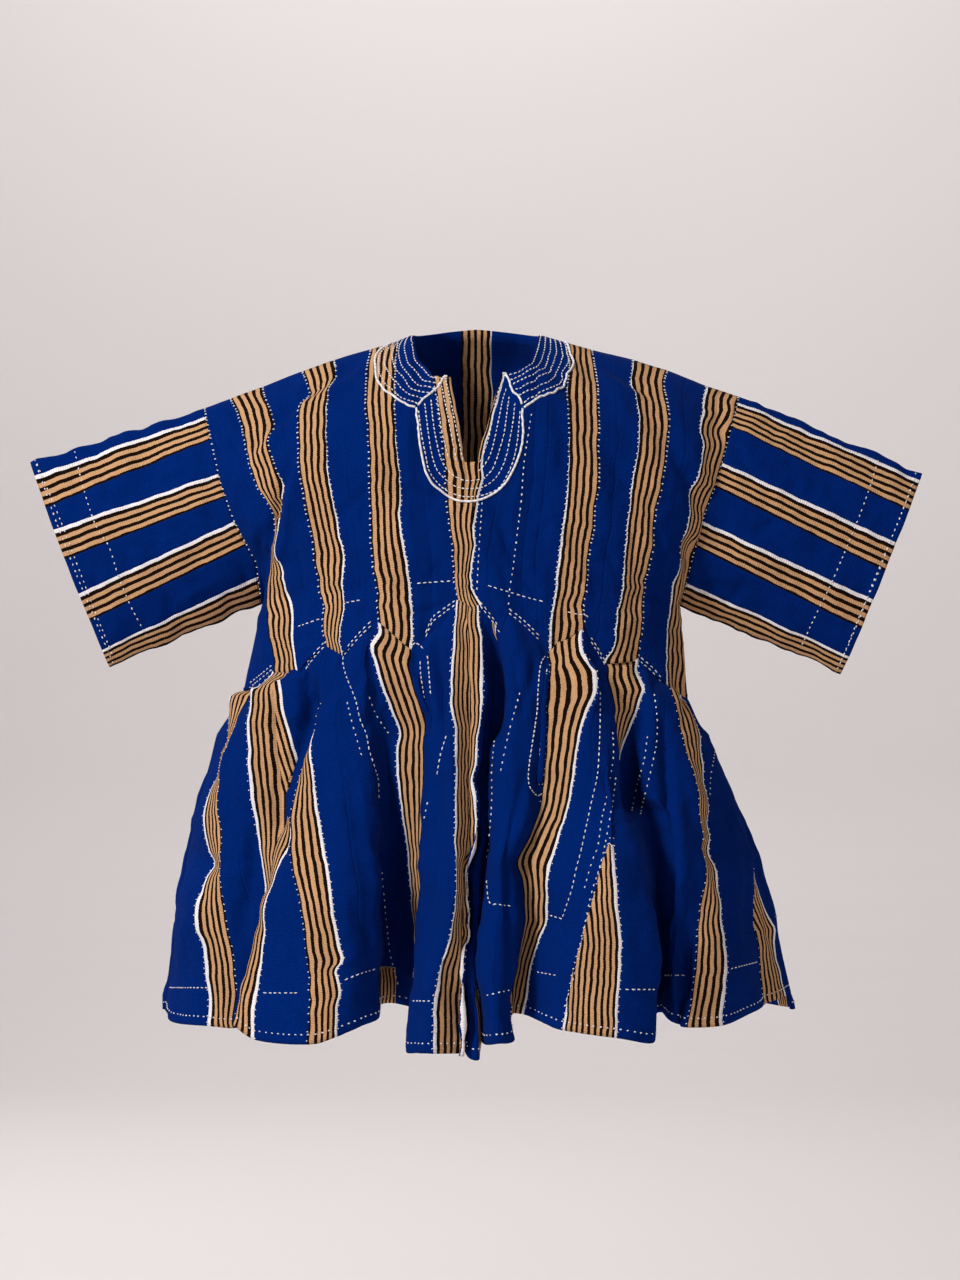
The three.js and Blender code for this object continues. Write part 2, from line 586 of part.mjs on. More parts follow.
/** The front skirt's columns: each line of the table, and one more between each two. */
function frontSkirtColumns() {
  const columns = [];
  const read = (key) => SKIRT_LINES.map((line) => line[key]);
  const [, seam, xHigh, yHigh, xMid, yMid, xHem, yHem, zHem] = SKIRT_LINES[0].map((_, k) => read(k));
  for (let i = 0; i <= 2 * (SKIRT_LINES.length - 1); i += 1) {
    const key = i / 2;
    const low = Math.floor(key);
    const high = Math.min(low + 1, seam.length - 1);
    columns.push({
      seamX: mix(seam[low], seam[high], key - low),
      xs: [xHigh, xMid, xHem].map((xs) => smooth(xs, key)),
      ys: [yHigh, yMid, yHem].map((ys) => smooth(ys, key)),
      hemZ: smooth(zHem, key),
    });
  }
  return columns;
}

/** The back skirt's columns, by loops over its flutes. */
function backSkirtColumns() {
  const total = BACK_FLUTES.reduce((sum, [share]) => sum + share, 0);
  const columns = [];
  let start = 0;
  BACK_FLUTES.forEach(([share, reach], k) => {
    const last = k === BACK_FLUTES.length - 1;
    const count = BACK_COLUMNS_PER_FLUTE + (last ? 1 : 0);
    for (let i = 0; i < count; i += 1) {
      const within = i / BACK_COLUMNS_PER_FLUTE;
      const t = (start + within * share) / total;
      columns.push(backColumn(t, within, reach));
    }
    start += share;
  });
  return columns;
}

/** One column of the back skirt: t along the hem, within its flute, and the flute's reach. */
function backColumn(t, within, reach) {
  const edge = back.points[back.points.length - 1];
  const across = (1 - Math.cos(Math.PI * t)) / 2;
  const seamShare = mix(t, across, SEAM_SPREAD);
  const fall = ((1 - Math.cos(2 * Math.PI * within)) / 2) ** VALLEY_SHARPNESS;
  const ridge = 1 - VALLEY_DEPTH * fall;
  const side = Math.sin(Math.PI * t) ** BACK_SIDE_FADE;
  const place = (level) => {
    const middle = (level.left + level.right) / 2;
    const halfWidth = (level.right - level.left) / 2;
    const out = reach * level.reach * ridge * side;
    const direction = vec(-Math.cos(Math.PI * t) / halfWidth, Math.sin(Math.PI * t) / level.depth, 0);
    direction.normalize();
    return [middle - halfWidth * Math.cos(Math.PI * t) + direction.x * out,
      level.depth * Math.sin(Math.PI * t) ** BACK_ROUND_POWER + direction.y * out];
  };
  const spots = BACK_LEVELS.map(place);
  return {
    seamX: mix(edge[0].x, edge[edge.length - 1].x, seamShare),
    xs: spots.map(([x]) => x),
    ys: spots.map(([, y]) => y),
    hemZ: BACK_HEM_Z - BACK_HEM_DIP * ridge * side,
  };
}

const skirtFront = skirtPanel(front, frontSkirtColumns(), -1);
const skirtBack = skirtPanel(back, backSkirtColumns(), 1);
const skirt = ({ points, normals, facing }) => clothWall(points, normals, facing);

// ---- pockets ------------------------------------------------------------------------------
/** The bound edge of a pocket slit: a narrow strip laid on the skirt along one of its lines. */
function pocketBinding({ line, from, to, width }) {
  const column = 2 * SKIRT_LINES.findIndex(([name]) => name === line);
  const rows = SKIRT_ROWS.map((_, r) => r).filter((r) => SKIRT_ROWS[r] >= from && SKIRT_ROWS[r] <= to);
  const beside = column + Math.sign(width);
  const outer = [];
  const normals = [];
  rows.forEach((r) => {
    const near = skirtFront.points[r][column];
    const far = skirtFront.points[r][beside];
    const share = Math.min(Math.abs(width) / near.distanceTo(far), 1);
    const normal = skirtFront.normals[r][column].clone().normalize();
    const lift = normal.clone().multiplyScalar(POCKET_LIFT + POCKET_THICKNESS);
    const pair = [near.clone().add(lift), near.clone().lerp(far, share).add(lift)];
    outer.push(width > 0 ? pair : pair.reverse());
    normals.push([normal, normal]);
  });
  return clothWall(outer, normals, -1, { thickness: POCKET_THICKNESS });
}

// ---- cords --------------------------------------------------------------------------------
/** All triangles of the bodice's outer faces. */
function bodiceTriangles() {
  const triangles = [];
  [front, back].forEach(({ points, normals }) => {
    for (let r = 0; r < points.length - 1; r += 1) {
      for (let c = 0; c < points[0].length - 1; c += 1) {
        const corner = (dr, dc) => ({ p: points[r + dr][c + dc], n: normals[r + dr][c + dc] });
        triangles.push([corner(0, 0), corner(0, 1), corner(1, 1)]);
        triangles.push([corner(0, 0), corner(1, 1), corner(1, 0)]);
      }
    }
  });
  return triangles;
}

/** Lays a point on the bodice and lifts it off by a distance. */
function layOnBodice(guess, triangles, lift) {
  let best = Infinity;
  const spot = vec(0, 0, 0);
  const normal = vec(0, 0, 0);
  const face = new THREE.Triangle();
  const nearest = vec(0, 0, 0);
  const weights = vec(0, 0, 0);
  triangles.forEach((corners) => {
    face.set(corners[0].p, corners[1].p, corners[2].p);
    face.closestPointToPoint(guess, nearest);
    const distance = nearest.distanceTo(guess);
    if (distance >= best) return;
    best = distance;
    spot.copy(nearest);
    face.getBarycoord(nearest, weights);
    normal.set(0, 0, 0);
    corners.forEach((corner, k) => normal.addScaledVector(corner.n, weights.getComponent(k)));
    normal.normalize();
  });
  return spot.addScaledVector(normal, lift);
}

/** A round cord laid on the bodice along a route. */
function cord(route, triangles, steps, trim = 0) {
  const rough = new THREE.CatmullRomCurve3(route.map(([x, y, z]) => vec(x, y, z)));
  const spots = [];
  for (let i = 0; i <= steps; i += 1) {
    const t = mix(trim, 1 - trim, i / steps);
    spots.push(layOnBodice(rough.getPointAt(t), triangles, CORD_RADIUS + CORD_LIFT));
  }
  const path = new THREE.CatmullRomCurve3(spots);
  const section = new THREE.Shape();
  for (let k = 0; k < CORD_SIDES; k += 1) {
    const angle = 2 * Math.PI * k / CORD_SIDES;
    const [x, y] = [CORD_RADIUS * Math.cos(angle), CORD_RADIUS * Math.sin(angle)];
    if (k === 0) section.moveTo(x, y);
    else section.lineTo(x, y);
  }
  section.closePath();
  return new THREE.ExtrudeGeometry(section, { steps, extrudePath: path, bevelEnabled: false });
}

// ---- the garment --------------------------------------------------------------------------
const smock = new THREE.Group();

function addPiece(name, geometry, look) {
  geometry.computeVertexNormals();
  const mesh = new THREE.Mesh(geometry, new THREE.MeshStandardMaterial(look));
  mesh.name = name;
  smock.add(mesh);
}

addPiece('bodice_front', frontBodice(), BLUE);
addPiece('bodice_back', backBodice(), BLUE);
addPiece('sleeve_left', sleeve('left'), BLUE);
addPiece('sleeve_right', sleeve('right'), BLUE);
addPiece('skirt_front', skirt(skirtFront), BLUE);
addPiece('skirt_back', skirt(skirtBack), BLUE);
POCKETS.forEach((pocket) => addPiece(pocket.name, pocketBinding(pocket), BLUE));

const bodiceFaces = bodiceTriangles();
addPiece('cord_neck_ring', cord(NECK_RING_CORD, bodiceFaces, 84), WHITE);
addPiece('cord_bib', cord(BIB_CORD, bodiceFaces, 40, 0.012), WHITE);
addPiece('cord_mitre_left', cord(MITRE_LEFT, bodiceFaces, 8, 0.06), WHITE);
addPiece('cord_mitre_right', cord(MITRE_RIGHT, bodiceFaces, 8, 0.06), WHITE);

export default smock;
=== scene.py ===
"""Fugu smock, dressed for rendering.

A wide pullover smock sewn by hand from narrow hand-woven cotton strips: plain blue, with bands
of tan, black and white warp stripes. Cloth is worked out in millimetres, as on a maker's ruler,
and turned to metres where it becomes a mesh. +Z is up and the front faces -Y. Left and right in
names are as seen from the front.
"""

from __future__ import annotations

import logging
import math
import random
from dataclasses import dataclass, field
from enum import Enum
from typing import Sequence

import bmesh
import bpy
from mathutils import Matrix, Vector, noise
from mathutils.bvhtree import BVHTree

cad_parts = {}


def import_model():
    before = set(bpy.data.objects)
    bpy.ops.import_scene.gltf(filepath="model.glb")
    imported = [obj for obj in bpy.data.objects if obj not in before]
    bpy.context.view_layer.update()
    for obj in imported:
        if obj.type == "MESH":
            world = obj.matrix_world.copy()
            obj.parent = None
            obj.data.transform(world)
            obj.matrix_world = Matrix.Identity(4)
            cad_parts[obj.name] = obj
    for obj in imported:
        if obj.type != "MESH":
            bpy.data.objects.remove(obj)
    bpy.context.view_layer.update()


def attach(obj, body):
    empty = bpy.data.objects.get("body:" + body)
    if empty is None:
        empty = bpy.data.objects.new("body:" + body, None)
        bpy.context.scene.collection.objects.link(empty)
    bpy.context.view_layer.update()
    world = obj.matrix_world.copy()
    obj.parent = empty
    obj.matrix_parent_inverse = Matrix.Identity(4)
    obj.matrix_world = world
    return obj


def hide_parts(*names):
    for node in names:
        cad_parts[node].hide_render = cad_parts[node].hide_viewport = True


LOG = logging.getLogger("fugu_smock")
MM = 0.001
VIEW_X, VIEW_Z = 3.4, -333                # the middle of the view at the shoulders, in millimetres
EYE = Vector((VIEW_X, -3400.0, VIEW_Z))   # the eye, square to the front, in millimetres
MIDDLE_COLUMN, MIDDLE_ROW = 480, 640      # that middle, as a reading in the 960 x 1280 frame
READING_STEP = 1.13                       # millimetres to each column or row
NARROWEST_CREASE = 5.5                    # the narrowest fold that the grid carries, in millimetres
CREASE_REACH = 2.2                        # how far a fold sinks the cloth, in its own widths
WAVE_TURN = 6.28                          # radians in one band of the wave pattern

# ---- the cut of the strip cloth, in millimetres ---------------------------------------------
# One band of warp stripes, read from its dark selvedge to its white one. Two bands sewn
# selvedge to selvedge make a double band, whose left half has negative numbers. All else is
# plain blue.
DARK_EDGE = 0.0
WHITE_EDGE = 34.1
BAND_STRIPES = [
    (0.0, "black"), (1.8, "tan"), (5.6, "black"), (8.9, "tan"), (12.6, "black"),
    (15.9, "tan"), (19.6, "black"), (22.9, "tan"), (26.6, "black"), (30.0, "white"),
    (33.3, "blue"),
]
PLAIN_BLUE = 40.0            # any reading past the white selvedge is plain blue

# ---- the worn form, in millimetres: the same sizes as the solids ----------------------------
SEAM_GAP = 0.3
CHEST_Z, ARM_Z, WAIST_Z = -157.0, -200.0, -246.0
HIGH_Z, MID_Z = -440.0, -580.0
ARMPIT_ROW, SLIT_ROW = 3.32, 0.84
ARMPIT_X = {"left": -243.0, "right": 229.0}

RIDGE = [  # (x, z) of the shoulder ridge
    (-308, -71), (-278, -60), (-243, -47), (-196, -29), (-164, -17), (-141, -10), (-118, -4),
    (-92, 4), (-73, 12), (0, 17), (70, 12), (98, 4), (130, -5), (176, -16), (214, -28),
    (260, -46), (296, -58),
]

FRONT_LINES = [  # (name, x top, z top, x chest, x arm, x waist, x seam, z seam)
    ("side_l", -308, -71, -286, -271, -247, -264, -392),
    ("blue3_l", -293, -66, -265, -246, -238, -245, -380),
    ("band3_l", -278, -60, -245, -226, -230, -227, -369),
    ("band3_r", -243, -47, -213, -216, -217, -195, -370),
    ("blue2_m", -220, -38, -202, -201, -197, -182, -353),
    ("band2_l", -196, -29, -194, -184, -179, -167, -340),
    ("band2_r", -164, -17, -163, -154, -146, -146, -350),
    ("blue1_m", -141, -10, -141, -135, -129, -127, -331),
    ("band1_l", -118, -4, -117, -116, -113, -110, -314),
    ("band1_r", -92, 4, -85, -83, -77, -71, -344),
    ("neck_l", -73, 11, -72, -70, -66, -62, -340),
    ("blue0_l", -67, -20, -58, -54, -50, -50, -330),
    ("band0_l", -48, -41, -34, -30, -27, -23, -294),
    ("slit_l", -29, -43, -12, -13, -14, -12, -297),
    ("slit_m", -4, -43, -7, -8, -10, -7, -301),
    ("slit_r", 27, -39, -2, -4, -7, -2, -300),
    ("band0_r", 31, -39, 3, -1, -4, 3, -296),
    ("bluec_a", 45, -35, 25, 19, 13, 25, -324),
    ("bluec_b", 59, -25, 46, 41, 36, 33, -302),
    ("neck_r", 70, 11, 60, 55, 50, 52, -318),
    ("bluec_c", 84, 8, 74, 69, 64, 70, -336),
    ("rband1_l", 102, 3, 99, 94, 88, 78, -349),
    ("rband1_r", 130, -5, 132, 128, 122, 115, -319),
    ("rblue1_m", 152, -11, 152, 147, 140, 127, -339),
    ("rband2_l", 177, -17, 172, 166, 160, 139, -360),
    ("rband2_r", 214, -28, 204, 196, 188, 178, -356),
    ("rblue2_m", 237, -37, 223, 214, 206, 191, -369),
    ("rband3_l", 260, -46, 241, 233, 223, 208, -382),
    ("rband3_m", 276, -52, 253, 241, 230, 221, -387),
    ("side_r", 296, -58, 267, 251, 240, 238, -399),
]

SKIRT_LINES = [  # (name, x seam, x high, y high, x mid, y mid, x hem, y hem, z hem)
    ("side_l", -264, -294, 0, -328, 0, -353, 0, -751),
    ("f0", -262, -290, -26, -316, -46, -336, -56, -758),
    ("sa_l", -259, -286, -42, -294, -82, -295, -104, -756),
    ("sa_r", -252, -271, -62, -281, -98, -260, -122, -756),
    ("v0", -239, -261, -76, -256, -112, -234, -116, -748),
    ("sb_l", -227, -252, -90, -234, -118, -225, -130, -746),
    ("sb_m", -210, -236, -94, -219, -124, -236, -144, -746),
    ("sb_r", -195, -205, -104, -210, -136, -250, -152, -746),
    ("sc_l", -185, -193, -112, -222, -152, -266, -168, -744),
    ("sc_r", -177, -188, -117, -215, -168, -236, -196, -759),
    ("sd_l", -167, -183, -121, -195, -190, -179, -226, -760),
    ("sd_r", -146, -174, -128, -156, -206, -148, -224, -752),
    ("f2_m", -133, -148, -146, -128, -202, -122, -208, -743),
    ("f2_r", -122, -120, -148, -106, -174, -103, -180, -738),
    ("v2_l", -117, -110, -132, -105, -134, -106, -132, -730),
    ("v2_m", -113, -99, -122, -90, -116, -88, -112, -730),
    ("se_l", -109, -87, -124, -73, -132, -66, -130, -735),
    ("se_r", -71, -57, -132, -56, -146, -58, -156, -743),
    ("f3_l", -62, -51, -142, -60, -168, -80, -186, -771),
    ("f3_m", -42, -38, -154, -41, -192, -66, -212, -771),
    ("c_l", -23, -29, -158, -20, -206, -48, -224, -770),
    ("c_r", 2, 5, -150, -11, -186, -20, -216, -774),
    ("v3", 7, 8, -124, -9, -152, -15, -178, -766),
    ("f4_l", 10, 11, -120, -6, -168, -12, -206, -776),
    ("f4_r", 14, 17, -119, 4, -168, 3, -208, -778),
    ("v4", 17, 20, -118, 7, -154, 5, -180, -764),
    ("f5_l", 21, 24, -140, 10, -182, 9, -206, -763),
    ("f5_m", 28, 38, -160, 25, -200, 20, -222, -760),
    ("f5_r", 38, 57, -160, 39, -186, 37, -204, -758),
    ("sg_l", 77, 72, -152, 43, -164, 34, -160, -737),
    ("sg_r", 115, 110, -160, 79, -184, 53, -164, -736),
    ("f6_l", 121, 122, -160, 104, -202, 73, -194, -742),
    ("sh_l", 126, 133, -156, 133, -214, 91, -210, -747),
    ("sh_r", 131, 141, -152, 147, -216, 149, -228, -753),
    ("f6_r", 136, 153, -142, 180, -196, 190, -208, -761),
    ("si_l", 141, 158, -122, 187, -160, 187, -168, -747),
    ("si_r", 178, 178, -106, 194, -128, 198, -136, -737),
    ("f7_a", 190, 198, -120, 210, -158, 212, -172, -743),
    ("f7_v", 199, 213, -112, 228, -148, 222, -162, -747),
    ("sj_l", 208, 227, -100, 246, -138, 230, -178, -748),
    ("sj_r", 229, 249, -72, 263, -122, 271, -160, -748),
    ("f7_m", 234, 256, -46, 291, -80, 309, -112, -742),
    ("sk_l", 236, 260, -28, 310, -44, 336, -66, -737),
    ("side_r", 238, 261, 0, 318, 0, 355, 0, -731),
]

BACK_FLUTES = [  # (share of the width, reach of its ridges at the hem)
    (0.9, 24), (1.15, 32), (0.85, 26), (1.1, 34), (1.2, 30), (0.8, 26), (1.1, 32), (0.9, 24),
]
BACK_LEVELS = [  # (z, left, right, depth, share of the flutes' reach)
    (HIGH_Z, -294, 261, 138, 0.35), (MID_Z, -328, 318, 172, 0.7), (-750.0, -353, 355, 194, 1.0),
]


def placed_route(readings: Sequence[tuple[float, float]]) -> list[tuple[int, int]]:
    """Turns readings, (column, row), into (x, z) in the plane of the shoulders, to the nearest mm."""
    return [(round(VIEW_X + (column - MIDDLE_COLUMN) * READING_STEP),
             round(VIEW_Z - (row - MIDDLE_ROW) * READING_STEP)) for column, row in readings]


def placed_courses(courses: dict[str, list]) -> dict[str, list]:
    """Places the readings along each named edge."""
    return {name: placed_route(readings) for name, readings in courses.items()}


def placed_lines(rows: list[tuple]) -> list[tuple]:
    """Places the readings along each row of stitches."""
    return [(stitch, placed_route(readings)) for stitch, readings in rows]


# Where the edges of the bands run, in the plane of the shoulders, seen square to the front.
BODICE_COURSES = placed_courses({
    "band3_l": [(231, 398), (238, 415), (245, 440), (249, 460), (257, 485), (266, 500),
        (271, 515), (272, 535), (271, 552), (268, 570), (264, 585), (266, 600), (268, 620),
        (271, 640), (274, 672)],
    "band3_r": [(262, 386), (267, 405), (273, 422), (268, 438), (270, 455), (277, 470),
        (283, 485), (280, 502), (276, 520), (276, 535), (278, 550), (283, 566), (288, 590),
        (291, 605), (293, 640), (297, 672)],
    "band2_l": [(303, 370), (306, 382), (308, 394), (302, 406), (298, 418), (298, 440),
        (300, 475), (304, 495), (308, 515), (313, 550), (318, 585), (323, 615), (325, 640)],
    "band2_r": [(333, 359), (336, 372), (331, 386), (327, 402), (325, 430), (326, 450),
        (328, 475), (335, 515), (343, 550), (344, 570), (342, 610), (340, 640)],
    "band1_l": [(372, 348), (366, 372), (366, 400), (368, 430), (370, 470), (371, 540),
        (374, 570), (377, 600), (379, 630)],
    "band1_r": [(397, 342), (395, 375), (395, 410), (396, 440), (399, 470), (401, 520),
        (404, 545), (408, 570), (411, 595), (413, 640)],
    "band0_l": [(445, 485), (448, 510), (450, 530), (454, 570), (457, 590), (458, 606)],
    "band0_r": [(484, 480), (478, 500), (476, 520), (474, 545), (472, 575), (474, 592),
        (481, 604)],
    "rband1_l": [(567, 345), (570, 365), (568, 390), (569, 420), (570, 450), (568, 480),
        (562, 530), (557, 575), (552, 610), (549, 640)],
    "rband1_r": [(592, 350), (596, 365), (597, 390), (599, 450), (598, 480), (592, 540),
        (588, 570), (585, 600), (582, 640)],
    "rband2_l": [(634, 360), (632, 380), (636, 400), (639, 420), (638, 450), (634, 480),
        (627, 530), (621, 590), (617, 615), (615, 640)],
    "rband2_r": [(667, 368), (664, 385), (667, 405), (669, 425), (667, 450), (662, 480),
        (653, 535), (645, 590), (640, 640)],
    "rband3_l": [(707, 385), (702, 405), (700, 425), (702, 445), (699, 465), (692, 500),
        (684, 540), (680, 560), (674, 575), (671, 595), (668, 640), (665, 680)],
})
SKIRT_COURSES = placed_courses({
    "sa_l": [(240, 680), (231, 696), (227, 712), (228, 735), (224, 752), (212, 780), (206, 797),
        (203, 831), (207, 850), (212, 865), (206, 879), (198, 893), (194, 912), (195, 932),
        (202, 949), (205, 977), (207, 1002), (207, 1025)],
    "sa_r": [(252, 680), (247, 696), (240, 715), (231, 735), (227, 750), (219, 770), (217, 785),
        (217, 808), (220, 836), (219, 865), (220, 887), (224, 907), (227, 935), (233, 957),
        (236, 977), (236, 1000), (232, 1020)],
    "sb_l": [(249, 692), (248, 705), (246, 724), (248, 766), (252, 808), (257, 845), (261, 873),
        (264, 888)],
    "sb_m": [(272, 676), (273, 700), (274, 724), (276, 750), (279, 780), (281, 810), (279, 840),
        (273, 865), (267, 888)],
    "sb_r": [(285, 690), (290, 710), (296, 745), (290, 765), (285, 785), (284, 810), (281, 836),
        (274, 862), (268, 888)],
    "sc_l": [(310, 713), (304, 745), (299, 775), (292, 800), (288, 814), (279, 836), (271, 862),
        (266, 884), (262, 898), (258, 921), (252, 949), (247, 977), (237, 1002), (229, 1025)],
    "sc_r": [(312, 713), (305, 745), (300, 775), (293, 800), (290, 815), (290, 846), (282, 862),
        (273, 879), (268, 890), (265, 909), (264, 935), (261, 949), (259, 977), (257, 1005),
        (255, 1036)],
    "sd_l": [(314, 713), (306, 744), (301, 762), (298, 780), (294, 802), (290, 814), (290, 831),
        (290, 859), (294, 881), (299, 901), (303, 921), (304, 943), (307, 963), (310, 982),
        (309, 1005), (307, 1041)],
    "sd_r": [(314, 713), (312, 733), (310, 745), (312, 766), (316, 794), (320, 822), (325, 850),
        (330, 879), (334, 907), (338, 932), (342, 949), (344, 960), (337, 970), (339, 977),
        (342, 993), (339, 1005), (338, 1034)],
    "f2_r": [(360, 700), (368, 740), (372, 770), (376, 820), (378, 860), (380, 900), (380, 940),
        (379, 980), (378, 1018)],
    "se_l": [(377, 626), (370, 643), (374, 665), (383, 690), (391, 713), (398, 733), (396, 747),
        (397, 775), (401, 808), (405, 842), (410, 876), (412, 898), (415, 926)],
    "se_r": [(408, 645), (408, 663), (415, 690), (425, 724), (424, 752), (424, 814), (422, 853),
        (421, 893), (419, 921), (417, 932)],
    "f3_l": [(424, 645), (425, 690), (427, 733), (426, 752), (424, 808), (422, 864), (420, 893),
        (419, 921), (415, 949), (411, 977), (408, 1013), (404, 1052)],
    "c_l": [(453, 635), (450, 668), (450, 704), (453, 738), (454, 780), (455, 822), (457, 864),
        (457, 887), (453, 907), (451, 929), (447, 951), (437, 977), (433, 996), (433, 1052)],
    "c_m": [(469, 640), (470, 700), (470, 738), (468, 780), (469, 822), (468, 850), (464, 864),
        (464, 887), (462, 907), (463, 929), (461, 951), (460, 977), (461, 1052)],
    "c_r": [(482, 640), (483, 668), (482, 710), (478, 738), (477, 763), (473, 780), (475, 797),
        (477, 820), (475, 845), (469, 862), (466, 879), (467, 898), (470, 912), (468, 923),
        (470, 935), (464, 951), (462, 971), (463, 1005), (463, 1047)],
    "f5_l": [(502, 668), (498, 724), (494, 752), (492, 775), (494, 808), (491, 836), (488, 864),
        (485, 893), (481, 921), (478, 943), (478, 977), (482, 1005), (484, 1044)],
    "sg_l": [(552, 660), (548, 682), (546, 738), (543, 780), (541, 800), (533, 831), (523, 850),
        (517, 863), (521, 879), (524, 893), (525, 907), (525, 923), (520, 949), (515, 971),
        (511, 988), (511, 1016)],
    "sg_r": [(597, 671), (597, 693), (589, 710), (582, 730), (578, 752), (574, 780), (568, 808),
        (560, 836), (553, 859), (550, 879), (548, 904), (546, 923), (539, 940), (533, 963),
        (529, 991), (525, 1016)],
    "sh_l": [(608, 760), (611, 834), (602, 864), (596, 887), (589, 909), (582, 935), (576, 957),
        (572, 977), (567, 996), (564, 1016), (562, 1026)],
    "sh_r": [(609, 760), (612, 834), (615, 859), (618, 893), (620, 921), (622, 949), (620, 977),
        (619, 1005), (618, 1033)],
    "f6_r": [(608, 690), (613, 724), (619, 761), (625, 797), (633, 831), (641, 864), (648, 893),
        (654, 921), (658, 949), (659, 977), (658, 1005), (655, 1043)],
    "si_l": [(605, 665), (606, 676), (613, 696), (616, 724), (618, 752), (624, 790)],
    "si_r": [(645, 690), (641, 704), (633, 724), (626, 741), (620, 759), (626, 792)],
    "sj_l": [(664, 680), (675, 716), (684, 741), (692, 772), (697, 797), (700, 817), (704, 836),
        (704, 853), (706, 879), (703, 898), (699, 918), (697, 949), (695, 974), (692, 999),
        (686, 1024)],
    "sj_r": [(683, 690), (697, 724), (703, 747), (706, 769), (707, 797), (705, 820), (709, 834),
        (713, 856), (720, 873), (726, 898), (725, 921), (728, 943), (728, 968), (725, 994),
        (725, 1024)],
    "sk_l": [(755, 864), (756, 893), (756, 921), (759, 949), (761, 977), (765, 1005)],
    "sk_r": [(757, 864), (762, 887), (769, 909), (775, 929), (777, 949), (780, 963), (786, 994)],
})


class Side(Enum):
    """The side of the body that a panel is on. The value is the sign of its outward Y."""

    FRONT = -1
    BACK = 1


class Keep(Enum):
    """The selvedge that a band keeps in sight where it is gathered or cut to a point."""

    LEFT = "left"
    RIGHT = "right"


class Hold(Enum):
    """How a sheet of cloth is held, in the frame's words."""

    GATHERED = "gathered"
    DRAPED = "draped"


# ---- small tools ----------------------------------------------------------------------------
def mix(a: float, b: float, t: float) -> float:
    """The value a share t of the way from a to b."""
    return a + (b - a) * t


def clamp01(t: float) -> float:
    """t kept between 0 and 1."""
    return min(max(t, 0.0), 1.0)


def soft_step(t: float) -> float:
    """A smooth rise from 0 to 1 while t goes from 0 to 1."""
    t = clamp01(t)
    return t * t * (3 - 2 * t)


def read_table(rows: Sequence[tuple[float, float]], key: float) -> float:
    """Straight-line reading of a table.

    Args:
        rows: (key, value) pairs, keys rising.
        key: where to read.

    Returns:
        The value at the key, held level past the table's ends.
    """
    i = 1
    while i < len(rows) - 1 and rows[i][0] < key:
        i += 1
    (k0, v0), (k1, v1) = rows[i - 1], rows[i]
    return mix(v0, v1, clamp01((key - k0) / (k1 - k0)))


def smooth(values: Sequence[float], key: float) -> float:
    """Smooth reading of evenly keyed values, as a Catmull-Rom curve with free ends.

    Args:
        values: the values at keys 0, 1, 2 and so on.
        key: where to read.

    Returns:
        The value at the key.
    """
    last = len(values) - 1
    i = min(max(math.floor(key), 0), last - 1)
    t = key - i
    p1, p2 = values[i], values[i + 1]
    p0 = values[i - 1] if i > 0 else 2 * p1 - p2
    p3 = values[i + 2] if i + 2 <= last else 2 * p2 - p1
    return 0.5 * (2 * p1 + (p2 - p0) * t + (2 * p0 - 5 * p1 + 4 * p2 - p3) * t * t
                  + (3 * p1 - p0 - 3 * p2 + p3) * t ** 3)


def course_x(course: Sequence[tuple[float, float]], z: float) -> float:
    """X of a course at a height: a smooth curve through its points.

    Args:
        course: (x, z) points from the top down.
        z: height.

    Returns:
        The X, held level past the course's ends.
    """
    if z >= course[0][1]:
        return course[0][0]
    if z <= course[-1][1]:
        return course[-1][0]
    i = 1
    while course[i][1] > z:
        i += 1
    (x0, z0), (x1, z1) = course[i - 1], course[i]
    before, after = course[max(i - 2, 0)], course[min(i + 1, len(course) - 1)]
    slope0 = (x1 - before[0]) / (z1 - before[1])
    slope1 = (after[0] - x0) / (after[1] - z0)
    h, t = z1 - z0, (z - z0) / (z1 - z0)
    return (x0 * (1 + 2 * t) * (1 - t) ** 2 + slope0 * h * t * (1 - t) ** 2
            + x1 * t * t * (3 - 2 * t) + slope1 * h * t * t * (t - 1))


def seen(p: Vector) -> tuple[float, float, float]:
    """Where a point stands as seen by the eye.

    Args:
        p: a point in millimetres.

    Returns:
        X and Z in the plane of the shoulders, and the scale from the point to that plane.
    """
    near = EYE.y / (EYE.y - p.y)
    return EYE.x + (p.x - EYE.x) * near, EYE.z + (p.z - EYE.z) * near, near


def linear(hex_colour: str) -> tuple[float, float, float, float]:
    """A colour written as sRGB hex, turned to the linear light that shaders take.

    Args:
        hex_colour: six hex digits after a hash.

    Returns:
        Red, green, blue and an alpha of 1.
    """
    parts = [int(hex_colour[i:i + 2], 16) / 255 for i in (1, 3, 5)]
    r, g, b = (c / 12.92 if c <= 0.04045 else ((c + 0.055) / 1.055) ** 2.4 for c in parts)
    return (r, g, b, 1.0)


def resample(route: Sequence[Vector], count: int) -> list[Vector]:
    """Evenly spaced points along a route of straight runs.

    Args:
        route: the corners of the route.
        count: how many points to give.

    Returns:
        count points, the route's ends among them.
    """
    reach = [0.0]
    for a, b in zip(route, route[1:]):
        reach.append(reach[-1] + (b - a).length)
    found, i = [], 1
    for k in range(count):
        want = reach[-1] * k / (count - 1)
        while i < len(route) - 1 and reach[i] < want:
            i += 1
        span = max(reach[i] - reach[i - 1], 1e-9)
        found.append(route[i - 1].lerp(route[i], clamp01((want - reach[i - 1]) / span)))
    return found


